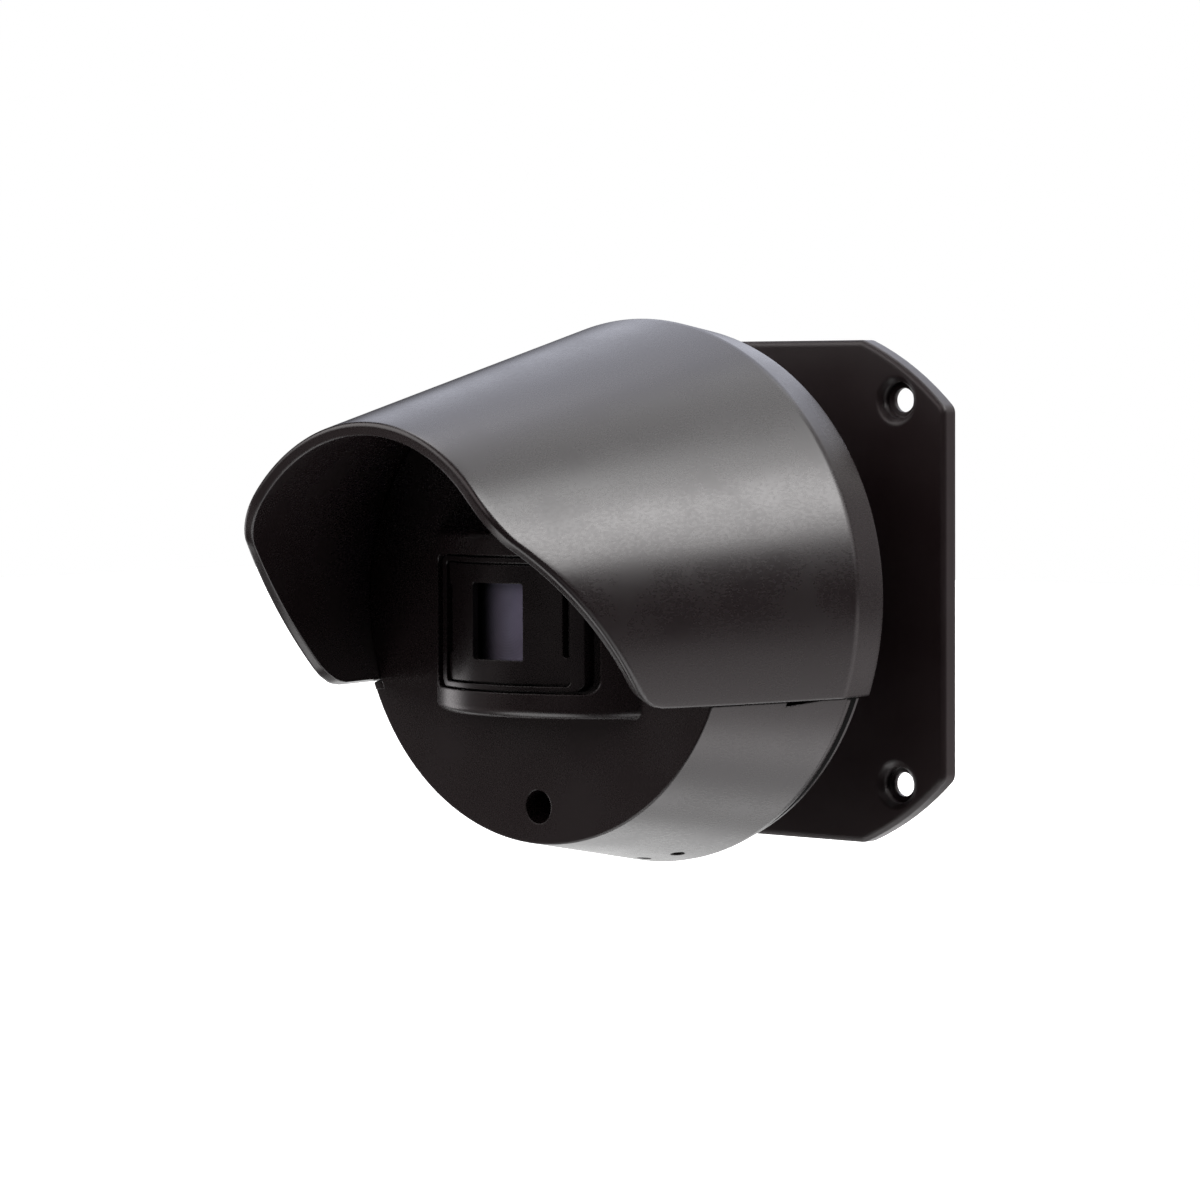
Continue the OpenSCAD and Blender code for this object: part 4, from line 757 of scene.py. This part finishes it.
both = add_node(tree, "ShaderNodeMath", {0: tracks[0].outputs["Fac"], 1: tracks[1].outputs["Fac"]},
                operation="MAXIMUM")
tint = add_node(tree, "ShaderNodeMix", {"Factor": both.outputs[0]}, data_type="RGBA",
                sockets={FIRST_TONE: colour("#174a30"), SECOND_TONE: colour("#2c7350")})
bump = add_node(tree, "ShaderNodeBump", {"Height": both.outputs[0]},
                sockets={"Distance": TRACK_HEIGHT})
dress(tree, shader, tint, bump=bump)
print("board:", board_mask.name)

# %% [markdown]
# The rest are small moulded or coated things. They share one recipe: a tone that clouds slightly,
# a fine bump of the right size and a gloss that varies. What differs is the colour, the gloss, the
# index of refraction and how deep the surface is.

# %% Small parts: the shared recipe
ROUGH_SPREAD, LEAST_ROUGH = 0.05, 0.02


def coated(name, tone, second_tone, rough, ior=1.5, cloud_mm=2.0, grain_mm=0.25,
           grain_height_mm=0.006, **sockets):
    """A small plastic or coated part."""
    material, tree, shader = new_material(name, IOR=ior, **sockets)
    place = add_node(tree, "ShaderNodeTexCoord").outputs["Object"]
    cloud = add_node(tree, "ShaderNodeTexNoise", {"Vector": place},
                     sockets={"Scale": 1 / (cloud_mm * MM), "Detail": 2.0})
    tint = add_node(tree, "ShaderNodeMix", {"Factor": cloud.outputs["Fac"]}, data_type="RGBA",
                    sockets={FIRST_TONE: colour(tone), SECOND_TONE: colour(second_tone)})
    gloss = add_node(tree, "ShaderNodeMapRange", {"Value": cloud.outputs["Fac"]}, sockets={
        "To Min": max(LEAST_ROUGH, rough - ROUGH_SPREAD), "To Max": rough + ROUGH_SPREAD})
    grain = add_node(tree, "ShaderNodeTexNoise", {"Vector": place},
                     sockets={"Scale": 1 / (grain_mm * MM), "Detail": 2.0})
    bump = add_node(tree, "ShaderNodeBump", {"Height": grain.outputs["Fac"]},
                    sockets={"Distance": grain_height_mm * MM})
    dress(tree, shader, tint, gloss, bump)
    return material


# %% Small parts: their finishes
# Nitrile rubber cord, extruded: black, dull, with a bloom that greys it in places. It also dresses
# the ring of painted shade in the cover's seam.
nitrile = coated("extruded_nitrile_rubber", "#060606", "#0a0a0a", 0.8, cloud_mm=1.2,
                 grain_height_mm=0.012, **{"Specular IOR Level": 0.08})
# Epoxy chip body, transfer moulded: a grey black with a matt, sandy face.
epoxy = coated("moulded_epoxy", "#19191a", "#222223", 0.52, ior=1.55, grain_mm=0.12,
               grain_height_mm=0.008)
# Vinyl cap of the battery snap and the black lead: smooth and slightly greasy.
black_vinyl = coated("black_vinyl", "#141414", "#1b1b1b", 0.36, ior=1.53)
red_vinyl = coated("red_vinyl", "#98201d", "#a82a24", 0.36, ior=1.53)
# Shrunk sleeve of the capacitors: a deep glossy blue grey.
sleeve = coated("shrunk_sleeve", "#20253a", "#282e46", 0.22, ior=1.53)
# Thermoset body of the trimmer: an opaque glossy blue.
trimmer_blue = coated("blue_thermoset", "#244a94", "#2d57a6", 0.28, ior=1.52)
# Nylon dial: warm white, faintly waxy.
white_nylon = coated("white_nylon", "#dcdbd2", "#e6e5dd", 0.42, ior=1.53)
# Cast lens of the lamp: red, clear enough to look deep, and polished.
red_lens = coated("cast_red_lens", "#8f1714", "#ab221c", 0.12, ior=1.53, grain_height_mm=0.001,
                  **{"Transmission Weight": 0.35})
# Coated silicon window of the sensor: nearly black, with a purple cast, and polished.
silicon = coated("coated_silicon", "#1c1524", "#241a30", 0.08, ior=2.4, grain_height_mm=0.0005)
print("small finishes:", [finish.name for finish in (
    nitrile, epoxy, black_vinyl, red_vinyl, sleeve, trimmer_blue, white_nylon, red_lens, silicon)])

# %% [markdown]
# The photograph shows no battery, so its jacket is plain: a dark body and a lighter band, with a
# clean printed edge between them, and a clear lacquer over a base that is half metal. A step in
# height does this with no picture. The foam is made of open cells, and a Voronoi pattern at their
# size gives both the darker pores and their depth.

# %% Battery case
# The lighter band's share of the height, and half the width of its printed edge.
BATTERY_BAND, BAND_BLUR = 0.24, 0.05 * MM
battery_low, battery_high = (Vector(c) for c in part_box("battery"))
# Printed steel jacket: the lighter band is at the terminals' end.
jacket, tree, shader = new_material("lacquered_steel_jacket", Metallic=0.5, **{
    "Coat Weight": 0.6, "Coat Roughness": 0.12})
place = add_node(tree, "ShaderNodeTexCoord").outputs["Object"]
height = add_node(tree, "ShaderNodeSeparateXYZ", {0: place})
band_edge = battery_high.z - BATTERY_BAND * (battery_high.z - battery_low.z)
band = add_node(tree, "ShaderNodeMapRange", {"Value": height.outputs["Z"]},
                sockets={"From Min": band_edge - BAND_BLUR, "From Max": band_edge + BAND_BLUR})
cloud = add_node(tree, "ShaderNodeTexNoise", {"Vector": place}, sockets={"Scale": 1 / (4 * MM)})
tint = add_node(tree, "ShaderNodeMix", {"Factor": band.outputs[0]}, data_type="RGBA",
                sockets={FIRST_TONE: colour("#2e3238"), SECOND_TONE: colour("#a3a7ab")})
gloss = add_node(tree, "ShaderNodeMapRange", {"Value": cloud.outputs["Fac"]},
                 sockets={"To Min": 0.25, "To Max": 0.38})
dress(tree, shader, tint, gloss)
print("battery band starts", round(band_edge / MM, 1), "mm up")

# %% Foam
# Open cell polyurethane foam: grey, pitted with pores of about a millimetre, no shine at all.
PORE_SIZE, PORE_DEPTH = 0.9 * MM, 0.35 * MM
foam, tree, shader = new_material("open_cell_foam", Roughness=0.95, **{"Specular IOR Level": 0.2})
place = add_node(tree, "ShaderNodeTexCoord").outputs["Object"]
pores = add_node(tree, "ShaderNodeTexVoronoi", {"Vector": place}, feature="F1",
                 sockets={"Scale": 1 / PORE_SIZE})
tint = add_node(tree, "ShaderNodeMix", {"Factor": pores.outputs["Distance"]}, data_type="RGBA",
                sockets={FIRST_TONE: colour("#3a3c40"), SECOND_TONE: colour("#66696e")})
bump = add_node(tree, "ShaderNodeBump", {"Height": pores.outputs["Distance"]},
                sockets={"Distance": PORE_DEPTH})
dress(tree, shader, tint, bump=bump)
print("foam:", foam.name)

# %% [markdown]
# Each piece gets its finish by name from one table, so that a piece without one shows in the
# printout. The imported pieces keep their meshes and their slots, and only the slots' material
# changes. The new pieces have no slot yet, so theirs is added.

# %% Give every piece its finish
FINISHES = {
    housing_abs: ["rear_housing", "front_shell"],
    bracket_abs: ["wall_plate", "bracket_foot", "swivel_block", "tilt_bracket"],
    insert_abs: ["lens_carrier", "lens_mask"],
    zinc: ["foot_screws", "pan_bolt", "pan_nut", "pan_washers", "tilt_bracket_screws", "tilt_bolt",
           "tilt_nut", "tilt_washers", "cover_screw", "hood_screws", "board_screws"],
    lens_film: ["fresnel_lens"],
    nitrile: ["housing_seal"],
    board_mask: ["circuit_board"],
    nickel: ["pir_sensor"],
    tin: ["radio_module", "mode_switch"],
    copper: ["antenna_wire"],
    epoxy: ["controller_chip", "sensor_spacer"],
    black_vinyl: ["battery_snap", "mode_lever"],
    red_lens: ["indicator_lamp"],
    trimmer_blue: ["dial_base"],
    sleeve: ["capacitors"],
    white_nylon: ["range_dial"],
    jacket: ["battery"],
    silicon: ["sensor_window"],
}
# The ring in the seam takes the black nitrile as painted shade.
new_finishes = [(hood, housing_abs), (skirt, housing_abs), (lip, housing_abs), (shade_ring, nitrile),
                (pad, foam), (leads[0], red_vinyl), (leads[1], black_vinyl)]
for piece, material in new_finishes:
    piece.data.materials.append(material)
dressed = {"hood", "battery_pad", "battery_leads"}
for material, names in FINISHES.items():
    for name in names:
        dressed.add(name)
        for slot in nodes[name].material_slots:
            slot.material = material
print("nodes left without a finish:", sorted(set(nodes) - dressed))
